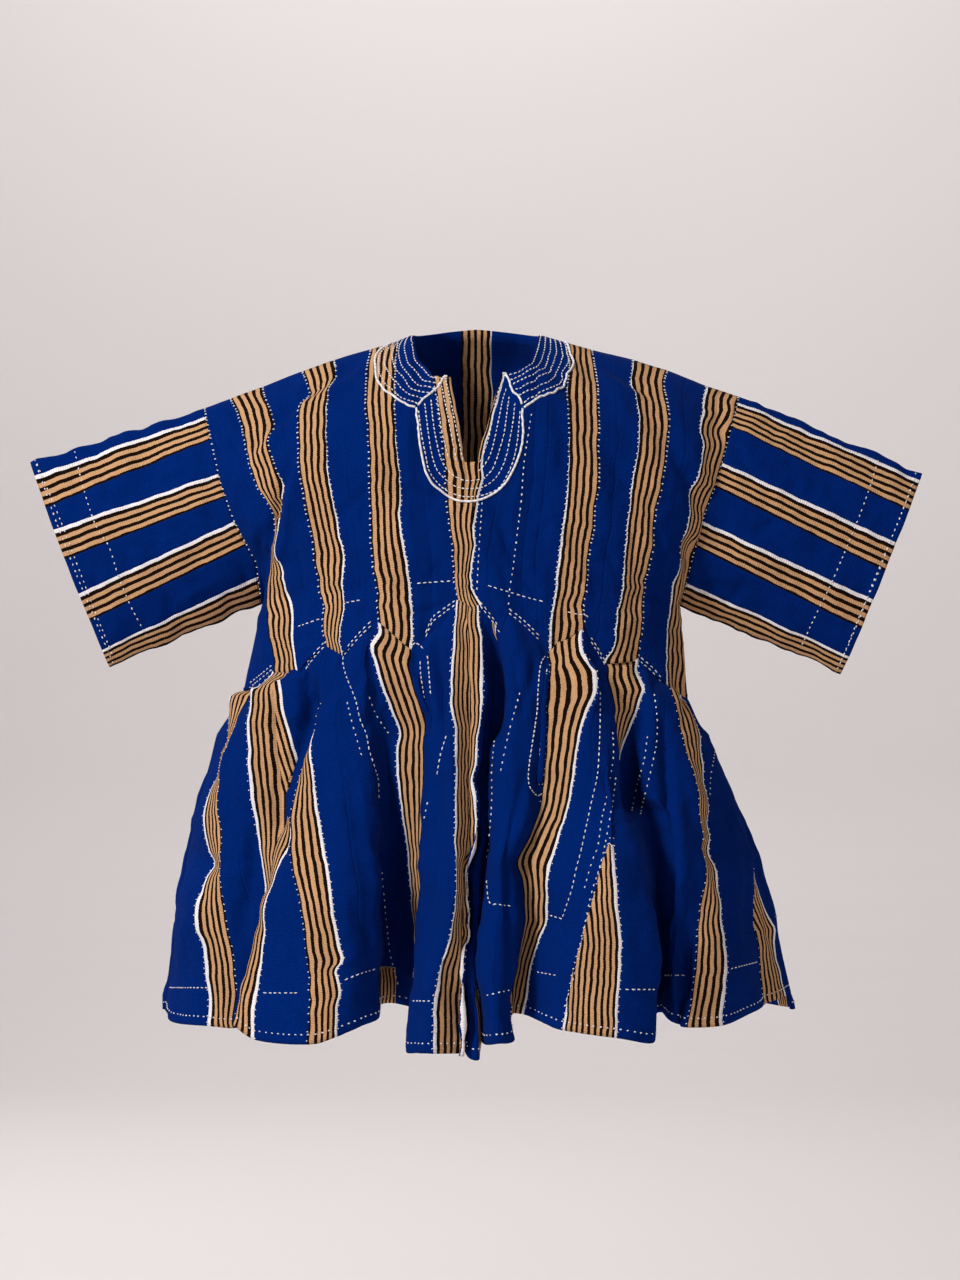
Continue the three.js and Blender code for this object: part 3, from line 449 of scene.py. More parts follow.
def add_node(tree: bpy.types.NodeTree, kind: str, settings: dict | None = None,
             links: dict | None = None) -> bpy.types.Node:
    """Adds a shader node.

    Args:
        tree: the material's or the world's node tree.
        kind: the node's type name.
        settings: values for its properties, or for its input sockets by name or number.
        links: the output sockets that go to its inputs, by the input's name or number.

    Returns:
        The new node.
    """
    node = tree.nodes.new(kind)
    for key, value in (settings or {}).items():
        if isinstance(key, str) and hasattr(node, key):
            setattr(node, key, value)
        else:
            node.inputs[key].default_value = value
    for key, socket in (links or {}).items():
        tree.links.new(socket, node.inputs[key])
    return node


# ---- finishes -------------------------------------------------------------------------------
@dataclass(frozen=True)
class StripCloth:
    """Hand-loomed cotton strips, plain weave, indigo-blue ground with warp stripes.

    Cotton spun thick and thin gives a matt cloth with a faint nap, streaks along the warp and
    fine ribs across it. Sizes are in millimetres.
    """

    name: str = "hand_loomed_cotton_strips"
    blue: str = "#022369"
    tan: str = "#c89a70"
    black: str = "#1a100c"
    white: str = "#ece5e5"
    rib: float = 2.7          # weft ribs, drawn coarser than real ones so that they show
    warp_thread: float = 1.1
    roughness: float = 0.86
    sheen: float = 0.015

    def stripe_stops(self) -> list[tuple[float, str]]:
        """The colour of every stripe of a double band, as (starts at, hex colour)."""
        yarn = {"blue": self.blue, "tan": self.tan, "black": self.black, "white": self.white}
        right = [(start, yarn[name]) for start, name in BAND_STRIPES]
        mirrored = [(-BAND_STRIPES[i + 1][0], yarn[BAND_STRIPES[i][1]])
                    for i in range(len(BAND_STRIPES) - 2, 0, -1)]
        return [(-WHITE_EDGE - 2.0, self.blue), *mirrored, (-BAND_STRIPES[1][0], self.black),
                *right[1:]]

    def make(self) -> bpy.types.Material:
        """Builds the material.

        Returns:
            The material, which reads the cloth's own UV map in millimetres.
        """
        material = bpy.data.materials.new(self.name)
        material.use_nodes = True
        tree = material.node_tree
        shader = tree.nodes["Principled BSDF"]
        uv = add_node(tree, "ShaderNodeUVMap", {"uv_map": "cloth_mm"})
        split = add_node(tree, "ShaderNodeSeparateXYZ", links={0: uv.outputs[0]})
        across, along = split.outputs[0], split.outputs[1]

        def maths(op: str, a: object, b: object) -> bpy.types.NodeSocket:
            """The result of a sum of two sockets or numbers."""
            node = add_node(tree, "ShaderNodeMath", {"operation": op})
            for i, part in enumerate((a, b)):
                if isinstance(part, (int, float)):
                    node.inputs[i].default_value = part
                else:
                    tree.links.new(part, node.inputs[i])
            return node.outputs[0]

        def streaks(per_mm_across: float, per_mm_along: float, seed: float,
                    detail: float = 2.0) -> bpy.types.NodeSocket:
            """Noise drawn out along the cloth, from 0 to 1."""
            spot = add_node(tree, "ShaderNodeCombineXYZ", {2: seed}, {
                0: maths("MULTIPLY", across, per_mm_across),
                1: maths("MULTIPLY", along, per_mm_along)})
            return add_node(tree, "ShaderNodeTexNoise", {"Scale": 1.0, "Detail": detail},
                            {"Vector": spot.outputs[0]}).outputs["Fac"]

        # Hand-beaten weft lets the stripes wander by half a millimetre or so.
        wander = maths("MULTIPLY", maths("SUBTRACT", streaks(0.03, 0.045, 3.0), 0.5), 2.6)
        jitter = maths("MULTIPLY", maths("SUBTRACT", streaks(0.5, 0.6, 9.0), 0.5), 0.9)
        place = maths("ADD", across, maths("ADD", wander, jitter))
        stops = self.stripe_stops()
        low, high = stops[0][0], WHITE_EDGE + 6.0
        ramp = add_node(tree, "ShaderNodeValToRGB", links={
            0: maths("DIVIDE", maths("SUBTRACT", place, low), high - low)})
        ramp.color_ramp.interpolation = "CONSTANT"
        elements = ramp.color_ramp.elements
        elements[0].position, elements[0].color = 0.0, linear(stops[0][1])
        elements[1].position, elements[1].color = 1.0, linear(stops[-1][1])
        for start, colour in stops[1:]:
            elements.new((start - low) / (high - low)).color = linear(colour)

        # Thick and thin yarn: long light and dark streaks, and short ticks where wefts show.
        yarn = streaks(1.0 / self.warp_thread, 0.03, 1.0, 3.0)
        ticks = streaks(0.16, 0.75, 5.0)
        # Broad blotches: faded indigo, and painted shade that stands in for soft folds which the
        # light shows too faintly.
        fading_and_fold_shade = streaks(0.012, 0.012, 7.0, 4.0)
        rib_wave = add_node(tree, "ShaderNodeMath", {"operation": "SINE"}, {
            0: maths("MULTIPLY", maths("ADD", along, maths("MULTIPLY", ticks, 1.2)),
                     2 * math.pi / self.rib)}).outputs[0]
        shade = maths("ADD", 0.36, maths("ADD", maths("MULTIPLY", yarn, 0.42), maths(
            "ADD", maths("MULTIPLY", ticks, 0.5), maths("MULTIPLY", fading_and_fold_shade, 0.38))))
        shade = maths("ADD", shade, maths("MULTIPLY", rib_wave, 0.075))
        tone = add_node(tree, "ShaderNodeVectorMath", {"operation": "SCALE"},
                        {0: ramp.outputs[0], "Scale": shade})
        tree.links.new(tone.outputs[0], shader.inputs["Base Color"])

        # Each strip's edge sinks into its seam.
        seam = add_node(tree, "ShaderNodeAttribute", {"attribute_name": "seam_mm"}).outputs["Fac"]
        groove = add_node(tree, "ShaderNodeMapRange", {
            "interpolation_type": "SMOOTHSTEP", 1: 0.0, 2: 2.4, 3: 0.0, 4: 1.0}, {0: seam})
        height = maths("ADD", maths("MULTIPLY", rib_wave, 0.24), maths(
            "ADD", maths("MULTIPLY", yarn, 0.5), maths("MULTIPLY", groove.outputs[0], 0.9)))
        bump = add_node(tree, "ShaderNodeBump", {"Strength": 0.8, "Distance": 0.0007},
                        {"Height": height})
        tree.links.new(bump.outputs[0], shader.inputs["Normal"])
        shader.inputs["Roughness"].default_value = self.roughness
        shader.inputs["Specular IOR Level"].default_value = 0.0
        shader.inputs["Sheen Weight"].default_value = self.sheen
        shader.inputs["Sheen Roughness"].default_value = 0.45
        return material


@dataclass(frozen=True)
class CottonThread:
    """Bleached cotton, two-ply: the couched cord and the sewing thread. Soft, matt and white."""

    name: str = "bleached_cotton_thread"
    colour: str = "#fbf8f7"
    shadow: str = "#d8d0d1"
    ply_turn: float = 2.2     # millimetres from one turn of the ply to the next
    roughness: float = 0.8

    def make(self) -> bpy.types.Material:
        """Builds the material.

        Returns:
            The material, whose ply is drawn in object coordinates.
        """
        material = bpy.data.materials.new(self.name)
        material.use_nodes = True
        tree = material.node_tree
        shader = tree.nodes["Principled BSDF"]
        place = add_node(tree, "ShaderNodeTexCoord").outputs["Object"]
        ply = add_node(tree, "ShaderNodeTexWave", {
            "bands_direction": "DIAGONAL", "Scale": 1 / (self.ply_turn * MM) / WAVE_TURN,
            "Distortion": 1.5, "Detail": 1.0}, {"Vector": place}).outputs["Fac"]
        tone = add_node(tree, "ShaderNodeMix", {"data_type": "RGBA"}, {0: ply})
        tone.inputs[6].default_value = linear(self.shadow)
        tone.inputs[7].default_value = linear(self.colour)
        bump = add_node(tree, "ShaderNodeBump", {"Strength": 0.5, "Distance": 0.0003},
                        {"Height": ply})
        tree.links.new(tone.outputs[2], shader.inputs["Base Color"])
        tree.links.new(bump.outputs[0], shader.inputs["Normal"])
        shader.inputs["Roughness"].default_value = self.roughness
        shader.inputs["Sheen Weight"].default_value = 0.1
        return material


@dataclass(frozen=True)
class StudioPaper:
    """Seamless background paper, matt and pale warm grey."""

    name: str = "background_paper"
    colour: str = "#e9e3e2"

    def make(self) -> bpy.types.Material:
        """Builds the material, with a faint paper grain."""
        material = bpy.data.materials.new(self.name)
        material.use_nodes = True
        tree = material.node_tree
        shader = tree.nodes["Principled BSDF"]
        place = add_node(tree, "ShaderNodeTexCoord").outputs["Object"]
        grain = add_node(tree, "ShaderNodeTexNoise", {"Scale": 300.0}, {"Vector": place})
        bump = add_node(tree, "ShaderNodeBump", {"Strength": 0.05}, {
            "Height": grain.outputs["Fac"]})
        tree.links.new(bump.outputs[0], shader.inputs["Normal"])
        shader.inputs["Base Color"].default_value = linear(self.colour)
        shader.inputs["Roughness"].default_value = 0.95
        return material


# ---- the form under the cloth ---------------------------------------------------------------
@dataclass(frozen=True)
class BodiceForm:
    """The rounded form that the bodice panels are laid over. All sizes in millimetres."""

    chest_depth: float = 120.0
    waist_depth: float = 128.0
    back_depth: float = 106.0
    back_waist_depth: float = 112.0
    ridge_rounding: float = 140.0
    back_rounding: float = 115.0
    ridge_power: float = 0.75
    chest_power: float = 2.3
    chest_turn: float = 1.25
    side_turn: float = 2.0
    armhole_depth: float = 50.0
    armhole_top_z: float = -65.0
    side_seam_z: float = -395.0
    armhole_power: float = 0.7
    neck_half_width: float = 73.0
    nape_rise: float = 7.0
    nape_dome: float = 42.0
    full_waist_z: float = -330.0

    def side_x(self, side: str, row: float) -> float:
        """X of a side edge: the armhole seam above the armpit, the side seam below it."""
        line = FRONT_LINES[0] if side == "left" else FRONT_LINES[-1]
        knots = [(0, line[1]), (1, line[3]), (2, line[4]), (3, line[5]),
                 (ARMPIT_ROW, ARMPIT_X[side]), (4, line[6])]
        return read_table(knots, row)

    def row_z(self, z_top: float, z_seam: float, row: float) -> float:
        """Height of a lengthwise line at a row."""
        return read_table([(0, z_top), (1, CHEST_Z), (2, ARM_Z), (3, WAIST_Z), (4, z_seam)], row)

    def hole_depth(self, row: float) -> float:
        """Depth of the armhole seam, which closes at the ridge and at the armpit."""
        if row >= ARMPIT_ROW:
            return 0.0
        top = self.armhole_top_z
        drop = self.row_z(top, self.side_seam_z, row) - top
        share = clamp01(drop / (self.row_z(top, self.side_seam_z, ARMPIT_ROW) - top))
        return self.armhole_depth * math.sin(math.pi * share) ** self.armhole_power

    def ridge_z(self, x: float, side: Side) -> float:
        """Height of the form's top at x, with the dome that the back neck is cut from."""
        nape = clamp01(1 - (x / self.neck_half_width) ** 2)
        dome = self.nape_dome * nape ** 0.6 if side is Side.BACK else 0.0
        return read_table(RIDGE, x) + dome

    def depth(self, x: float, z: float, row: float, side: Side) -> float:
        """Distance of the cloth from the plane of the ridge.

        Args:
            x: place across.
            z: height.
            row: row of the bodice.
            side: front or back.

        Returns:
            The depth, always positive.
        """
        back = side is Side.BACK
        edge = self.side_x("left" if x < 0 else "right", row)
        q = clamp01(abs(x / edge))
        turn = mix(self.chest_turn, self.side_turn, clamp01((row - 3) / 0.6))
        share = (1 - q ** self.chest_power) ** (1 / turn)
        rounding = self.back_rounding if back else self.ridge_rounding
        drop = clamp01((self.ridge_z(x, side) - z) / rounding)
        fall = math.sin(drop * math.pi / 2) ** self.ridge_power
        waist = clamp01((CHEST_Z - z) / (CHEST_Z - self.full_waist_z))
        full = (mix(self.back_depth, self.back_waist_depth, waist) if back
                else mix(self.chest_depth, self.waist_depth, waist))
        return mix(self.hole_depth(row), full * fall, share)


FORM = BodiceForm()


@dataclass(frozen=True)
class Crease:
    """A soft trough in the cloth, or a ridge where its depth is negative.

    The route is seen from the front, in (x, z), and the crease fades out to both its ends.
    """

    route: tuple[tuple[float, float], ...]
    depth: float
    width: float

    def at(self, x: float, z: float) -> float:
        """How far the cloth sinks at a point.

        Args:
            x: place across.
            z: height.

        Returns:
            The sink in millimetres.
        """
        bend = max(self.width, NARROWEST_CREASE)
        reach = CREASE_REACH * bend
        xs, zs = [p[0] for p in self.route], [p[1] for p in self.route]
        if not (min(xs) - reach < x < max(xs) + reach and min(zs) - reach < z < max(zs) + reach):
            return 0.0
        best, share = 1e9, 0.0
        runs = len(self.route) - 1
        for i, ((ax, az), (bx, bz)) in enumerate(zip(self.route, self.route[1:])):
            dx, dz = bx - ax, bz - az
            t = clamp01(((x - ax) * dx + (z - az) * dz) / max(dx * dx + dz * dz, 1e-9))
            gap = math.hypot(x - ax - dx * t, z - az - dz * t)
            if gap < best:
                best, share = gap, (i + t) / runs
        fade = math.sin(math.pi * mix(0.06, 0.94, share)) ** 0.7
        return self.depth * fade * math.exp(-(best / bend) ** 2)


@dataclass(frozen=True)
class Section:
    """The cloth between two lengthwise lines: which part of the stripe pattern it shows.

    Fields:
        left: the pattern's reading at the left line, in millimetres.
        right: its reading at the right line.
        keep: the selvedge that stays in sight where the cloth is narrow.
        tip: height where a gore starts; above it the cloth is plain.
        ends: height below which the band lies hidden in a fold.
        turns: height above which the other selvedge is kept.
        gather: how far the band can be drawn in before a part of it is hidden.
        edge: (x, z) points of the white selvedge, where it runs clear of the right line.
        trim: how much more of the white is turned under up at the shoulder.
        taper: length over which a gore widens below its tip.
    """

    left: float = PLAIN_BLUE
    right: float = PLAIN_BLUE + 30.0
    keep: Keep = Keep.RIGHT
    tip: float | None = None
    ends: float | None = None
    turns: float | None = None
    gather: float = 0.62
    edge: tuple[tuple[float, float], ...] = ()
    trim: float = 0.0
    taper: float = 0.0

    def reading(self, share: float, z: float, width: float, x_seen: float) -> float:
        """The pattern's reading at a point of the section.

        Args:
            share: 0 at the left line and 1 at the right one.
            z: height.
            width: width of the section there, in millimetres.
            x_seen: where the point stands as seen by the eye.

        Returns:
            The reading in millimetres across the pattern.
        """
        hidden = (self.tip is not None and z > self.tip) or (
            self.ends is not None and z < self.ends)
        if hidden or self.left == PLAIN_BLUE:
            return mix(PLAIN_BLUE, PLAIN_BLUE + 30.0, share)
        if self.edge:
            return WHITE_EDGE - (course_x(self.edge, z) - x_seen)
        under = self.trim * soft_step((z + 210) / 90)
        left, right = self.left, self.right
        if left > right:
            left -= under
        else:
            right -= under
        full = abs(right - left)
        if self.taper and z > self.tip - self.taper:
            return right + (share - (self.tip - z) / self.taper) * full
        shown = min(width / self.gather, full) / full
        keep = self.keep
        if self.turns is not None and z > self.turns:
            keep = Keep.LEFT if keep is Keep.RIGHT else Keep.RIGHT
        if keep is Keep.LEFT:
            return mix(left, right, share * shown)
        return mix(right, left, (1 - share) * shown)


def read_crease(readings: Sequence[tuple[float, float]], depth: float, width: float) -> Crease:
    """A fold along readings; depth and width in millimetres."""
    return Crease(tuple(placed_route(readings)), depth, width)


# Drag folds, creases and dents.
BODICE_CREASES = [  # read_crease takes readings, Crease (x, z); then depth and width in mm
    read_crease([(366, 354), (341, 374), (312, 390), (286, 412), (272, 428), (256, 442),
        (246, 462)], 3.2, 6),
    read_crease([(370, 362), (343, 384), (312, 400), (284, 424), (270, 440), (252, 462)], -2.4, 5),
    read_crease([(292, 458), (283, 485), (277, 512), (272, 532), (266, 560), (262, 590)], 4.5, 5),
    read_crease([(300, 455), (292, 490), (286, 520), (281, 545), (276, 575)], -2.6, 6),
    read_crease([(368, 488), (356, 500), (342, 514)], 1.4, 5),
    read_crease([(404, 452), (420, 455), (436, 462)], 1.1, 4),
    read_crease([(400, 470), (420, 474), (442, 480)], 1.1, 4),
    read_crease([(402, 488), (424, 494), (446, 500)], 1.0, 5),
    read_crease([(414, 612), (428, 611), (443, 606)], 2.2, 4),
    read_crease([(222, 432), (238, 424), (250, 430)], 1.8, 4),
    read_crease([(222, 452), (236, 448), (248, 456)], 1.6, 4),
    read_crease([(266, 528), (258, 546), (260, 566), (262, 590)], 4.0, 6),
    read_crease([(246, 470), (236, 482), (232, 500)], -1.6, 5),
    read_crease([(300, 540), (302, 575), (300, 610)], 1.3, 6),
    read_crease([(248, 620), (256, 640), (262, 664)], 1.6, 5),
    read_crease([(597, 362), (620, 376), (640, 390), (662, 404)], 2.6, 5),
    read_crease([(597, 371), (622, 386), (646, 400), (668, 420)], -2.2, 4),
    read_crease([(602, 444), (614, 464), (630, 486)], 2.0, 6),
    read_crease([(670, 450), (684, 474), (692, 492), (694, 510)], 2.4, 6),
    read_crease([(499, 522), (509, 551), (523, 573), (540, 600)], 2.6, 4),
    read_crease([(505, 520), (516, 548), (530, 570), (546, 594)], -1.4, 5),
    read_crease([(596, 530), (612, 562), (620, 584)], 2.0, 6),
    read_crease([(652, 512), (662, 550), (670, 568)], 2.2, 6),
    read_crease([(654, 600), (656, 625), (652, 645)], 1.4, 5),
    read_crease([(512, 630), (520, 640), (528, 652)], 1.6, 4),
    read_crease([(545, 440), (560, 452), (566, 470)], 1.0, 6),
    read_crease([(640, 520), (634, 545), (628, 575)], 1.2, 6),
    read_crease([(690, 520), (694, 545), (688, 575), (684, 600)], 2.2, 5),
    read_crease([(380, 560), (395, 575), (410, 585)], 1.1, 5),
]
SLEEVE_CREASES = [  # read_crease takes readings, Crease (x, z); then depth and width in mm
    read_crease([(186, 508), (203, 516), (213, 524), (222, 530)], 2.0, 4),
    read_crease([(236, 566), (246, 573), (248, 588)], 2.6, 5),
    read_crease([(180, 600), (200, 590), (222, 584)], -1.8, 8),
    read_crease([(120, 545), (139, 547), (156, 549)], 1.1, 6),
    read_crease([(205, 440), (190, 452), (170, 458)], 1.2, 7),
    read_crease([(214, 545), (200, 556), (178, 562)], 1.4, 7),
    read_crease([(150, 480), (135, 495), (110, 500)], 0.9, 8),
    read_crease([(222, 480), (208, 488), (190, 490)], 1.5, 6),
    read_crease([(726, 440), (740, 458), (756, 472)], 1.8, 6),
    read_crease([(722, 486), (742, 492), (764, 500)], -1.6, 6),
    read_crease([(754, 534), (768, 526), (784, 514)], 1.6, 4),
    read_crease([(722, 540), (736, 550), (752, 566)], 1.6, 6),
    read_crease([(742, 582), (736, 596), (726, 604)], 1.8, 5),
    read_crease([(800, 470), (820, 482), (846, 490)], 0.9, 8),
    read_crease([(700, 590), (716, 584), (738, 590)], 1.8, 5),
    read_crease([(790, 590), (806, 602), (818, 618)], 1.0, 8),
]
SKIRT_CREASES = [  # read_crease takes readings, Crease (x, z); then depth and width in mm
    Crease(((14, -319), (19, -356), (25, -401), (23, -457)), 9, 7),
    Crease(((-46, -344), (-42, -390), (-37, -446)), 7, 7),
    Crease(((-73, -350), (-60, -390), (-55, -435)), 5, 6),
    Crease(((-200, -362), (-190, -387), (-184, -410)), 7, 7),
    read_crease([(357, 765), (368, 826), (374, 898), (376, 960), (376, 1012)], -1.8, 3),
    read_crease([(352, 790), (362, 850), (368, 920), (370, 1000)], 1.3, 4),
    read_crease([(256, 820), (254, 850), (249, 898), (234, 955)], 5.5, 12),
    read_crease([(314, 690), (306, 722), (297, 750), (286, 785)], 8, 7),
    read_crease([(275, 685), (276, 730), (279, 780), (280, 830)], 3.5, 4),
    read_crease([(298, 938), (291, 985), (284, 1034)], 2.2, 3),
    read_crease([(362, 668), (356, 680), (351, 692)], 1.8, 3),
    read_crease([(374, 695), (370, 715), (368, 738)], 2.0, 4),
    read_crease([(178, 980), (184, 900), (192, 845)], -1.6, 4),
    read_crease([(186, 846), (198, 856), (206, 868)], 2.0, 4),
    read_crease([(216, 864), (226, 862), (236, 868)], 1.6, 3),
    read_crease([(226, 775), (232, 820), (238, 870)], 1.6, 7),
    read_crease([(340, 700), (346, 760), (352, 820), (350, 900)], 1.2, 9),
    read_crease([(325, 900), (326, 950), (340, 966)], 1.8, 4),
    read_crease([(300, 980), (320, 975), (338, 972)], 2.0, 3),
    read_crease([(302, 998), (320, 1002), (336, 998)], 1.4, 3),
    read_crease([(437, 700), (440, 760), (436, 840), (438, 920)], 1.2, 8),
    read_crease([(514, 652), (516, 675), (522, 698)], 3.2, 3),
    read_crease([(539, 644), (534, 672), (526, 700), (520, 716)], 2.6, 3),
    read_crease([(524, 776), (512, 823), (507, 855), (510, 898), (509, 984), (506, 1036)], 3.8, 4),
    read_crease([(532, 790), (520, 826), (514, 846)], -1.8, 5),
    read_crease([(663, 722), (668, 783), (669, 841), (671, 884), (675, 941), (687, 984)], 7.0, 5),
    read_crease([(676, 760), (680, 820), (683, 880), (690, 930)], -2.4, 8),
    read_crease([(629, 745), (630, 785), (634, 815)], 9, 7),
    read_crease([(706, 850), (724, 890), (732, 930), (736, 960)], 4.2, 8),
    read_crease([(749, 865), (752, 903), (746, 946)], 3.2, 6),
    read_crease([(678, 976), (674, 1008)], 2.0, 4),
    read_crease([(700, 835), (706, 845), (712, 856)], 2.6, 4),
    read_crease([(545, 800), (553, 790), (560, 770)], 1.2, 5),
    read_crease([(560, 860), (566, 900), (560, 945)], 1.6, 7),
    read_crease([(590, 760), (586, 800), (578, 840)], 1.4, 7),
    read_crease([(635, 870), (640, 920), (642, 980)], 1.3, 8),
    read_crease([(470, 990), (472, 1020), (471, 1050)], 2.0, 5),
    read_crease([(495, 880), (500, 940), (498, 1000)], 1.3, 6),
    read_crease([(452, 925), (444, 950), (438, 975)], 2.2, 4),
    read_crease([(740, 780), (744, 820), (752, 860)], 1.4, 7),
    read_crease([(763, 890), (768, 925), (776, 960)], 1.8, 4),
]
BACK_CREASES = [  # the same kinds of fold on the back
    Crease(((-60, -40), (-110, -75), (-160, -120), (-200, -165)), 2.6, 7),
    Crease(((60, -40), (108, -80), (160, -118), (196, -170)), 2.4, 7),
    Crease(((-215, -150), (-205, -210), (-212, -262)), 3.0, 7),
    Crease(((205, -150), (196, -205), (206, -260)), 2.8, 7),
    Crease(((-90, -180), (-70, -235), (-86, -290)), 1.8, 8),
    Crease(((30, -200), (44, -250), (36, -300)), 1.6, 8),
    Crease(((110, -190), (124, -240), (112, -290)), 1.7, 8),
    Crease(((-20, -120), (20, -128), (60, -122)), 1.2, 8),
]
BACK_SKIRT_CREASES = [
    Crease(((-210, -420), (-222, -520), (-230, -640)), 3.0, 7),
    Crease(((-120, -400), (-112, -500), (-122, -610), (-118, -720)), 2.6, 6),
    Crease(((-40, -380), (-46, -470), (-36, -560)), 2.2, 6),
    Crease(((50, -390), (60, -520), (54, -660)), 2.8, 7),
    Crease(((140, -420), (150, -520), (166, -640), (160, -730)), 2.6, 6),
    Crease(((220, -430), (236, -540), (246, -650)), 3.0, 7),
]


# ---- cloth panels ---------------------------------------------------------------------------
@dataclass
class ClothPanel:
    """A cut and sewn piece of strip cloth: a grid of rows and lengthwise lines.

    Fields:
        node: the solid that the panel stands for.
        flat: width and length of the cut, in metres; not used.
        area: its flat area in square metres; not used.
        held: how the cloth is held; not used.
        wall: thickness of the cloth in millimetres.
        creases: troughs and ridges.
    """

    node: str
    flat: tuple[float, float]
    area: float | None
    held: Hold
    outward: int = -1
    wall: float = 1.6
    creases: Sequence[Crease] = ()
    courses: dict[str, list[tuple[float, float]]] = field(default_factory=dict)
    closed: bool = False
    crumple: float = 5.4
    sway_share: float = 0.8
    gathers: float = 0.0
    pressed: float = 1.5
    outward_y: int = -1
    grid: list[list[Vector]] = field(default_factory=list)
    normals: list[list[Vector]] = field(default_factory=list)

    def lines(self) -> list[str]:
        """Names of the lengthwise lines, from left to right."""
        raise NotImplementedError

    def rows(self) -> list[float]:
        """The rows, from the top down."""
        raise NotImplementedError

    def steps(self, index: int) -> int:
        """How many columns the section right of a line is divided into."""
        return 3

    def section(self, index: int) -> Section:
        """The section right of a line."""
        raise NotImplementedError

    def place(self, index: int, share: float, row: float) -> Vector:
        """The cloth's outer face, in millimetres, before its creases."""
        raise NotImplementedError

    def gone(self, index: int, row: float) -> bool:
        """Whether the cloth is cut away right of a line, below a row."""
        return False

    def columns(self) -> list[tuple[int, float]]:
        """Every column of the grid as a line and a share of the way to the next one."""
        found = []
        for i in range(len(self.lines()) - 1):
            n = self.steps(i)
            found += [(i, k / n) for k in range(n)]
        return [*found, (len(self.lines()) - 2, 1.0)]

    def sink(self, p: Vector) -> float:
        """How far the cloth sinks at a point: its creases, and the crumple of worn cotton."""
        x, z = seen(p)[:2] if self.outward_y < 0 else (p.x, p.z)
        soft = noise.noise(Vector(((p.x + p.z * 0.35) / 30, p.y / 60, p.z / 52))) * self.crumple
        fine = noise.noise(Vector((p.x / 12, p.y / 30, p.z / 16 + 50))) * self.crumple * 0.3
        folds = self.pressed * sum(crease.at(x, z) for crease in self.creases)
        return folds + soft + fine + self.drawn_in(p)

    def drawn_in(self, p: Vector) -> float:
        """Small gathers that fade out below a waist seam."""
        if not self.gathers:
            return 0.0
        drop = self.seam_at(p.x).z - p.z
        turn = p.x / 3.9 + 3.0 * noise.noise(Vector((p.x / 22, p.z / 70, 1.0)))
        return self.gathers * math.sin(turn) * math.exp(-max(drop, 0.0) / 34)

    def sway(self, p: Vector) -> float:
        """How far hand sewing has pulled a point of the cloth sideways."""
        wide = noise.noise(Vector((p.x / 34, p.z / 22, 7.0))) * 2.0
        tight = noise.noise(Vector((p.x / 18, p.z / 9, 3.0))) * 0.9
        pulled = 1.0 + 0.8 * math.exp(-((p.z + 285) / 45) ** 2)
        if p.x > 200 and p.z > -320 and self.outward_y < 0:
            pulled += 1.3 * soft_step((p.x - 205) / 40)
        return (wide + tight) * pulled

    def fade(self, row: float) -> float:
        """How far the measured courses are followed at a row."""
        return 1.0

    def settle(self, p: Vector, row: float) -> Vector:
        """A moved point put back on the form."""
        return p

    def shifts(self, row: float) -> list[float]:
        """How far each line is moved across to run along its course.

        Args:
            row: the row.

        Returns:
            The moves in millimetres; a line without a course moves with its neighbours.
        """
        names = self.lines()
        known: dict[int, float] = {0: 0.0, len(names) - 1: 0.0}
        for i, name in enumerate(names):
            course = self.courses.get(name)
            if course is None:
                continue
            last = i == len(names) - 1
            x, z, near = seen(self.place(i - last, float(last), row))
            above = clamp01((z - course[0][1]) / 25)
            below = clamp01((course[-1][1] - z) / 25)
            known[i] = ((course_x(course, z) - x) / near * self.fade(row)
                        * soft_step(1 - above) * soft_step(1 - below))
        stops = sorted(known)
        found = []
        for a, b in zip(stops, stops[1:]):
            found += [mix(known[a], known[b], (i - a) / (b - a)) for i in range(a, b)]
        return [*found, known[stops[-1]]]

    def lay_out(self) -> None:
        """Works out the grid and its outward normals, creases included."""
        columns, rows = self.columns(), self.rows()
        bare = []
        for row in rows:
            moves = self.shifts(row) if self.courses else [0.0] * len(self.lines())
            bare.append([self.settle(self.place(i, s, row) + Vector((
                mix(moves[i], moves[i + 1], s), 0.0, 0.0)), row) for i, s in columns])
        bare = self.shaken(bare)
        normals = self.grid_normals(bare)
        self.grid = [[p - n * self.sink(p) * self.edge_ease(k, len(pr) - 1) * soft_step(row / 0.1)
                      for k, (p, n) in enumerate(zip(pr, nr))]
                     for row, pr, nr in zip(rows, bare, normals)]
        self.normals = self.grid_normals(self.grid)

    def edge_ease(self, column: int, last: int) -> float:
        """Holds the panel's side edges still, so that its seams stay shut."""
        if self.closed:
            return 1.0
        return soft_step(min(column, last - column) / 4)

    def shaken(self, points: list[list[Vector]]) -> list[list[Vector]]:
        """The grid with its lines pulled a little sideways, but not at the panel's edges."""
        last = len(points[0]) - 1
        return [[p + Vector((self.sway(p) * self.sway_share * self.edge_ease(k, last), 0.0, 0.0))
                 for k, p in enumerate(row)] for row in points]

    def grid_normals(self, points: list[list[Vector]]) -> list[list[Vector]]:
        """Outward unit normals of a grid.

        Args:
            points: rows of points, from the top down and from left to right.

        Returns:
            The normals in the same layout.
        """
        last_r, last_c = len(points) - 1, len(points[0]) - 1
        found = []
        for r, row in enumerate(points):
            line = []
            for c, _ in enumerate(row):
                left, right = max(c - 1, 0), min(c + 1, last_c)
                if self.closed and c in (0, last_c):
                    left, right = last_c - 1, 1
                across = row[right] - row[left]
                down = points[min(r + 1, last_r)][c] - points[max(r - 1, 0)][c]
                line.append(across.cross(down).normalized() * self.outward)
            found.append(line)
        return found

    def lengths(self) -> list[list[float]]:
        """How far down its column each grid point lies, in millimetres along the cloth."""
        found = [[0.0] * len(self.grid[0])]
        for above, row in zip(self.grid, self.grid[1:]):
            found.append([so_far + (q - p).length for so_far, p, q in zip(found[-1], above, row)])
        return found

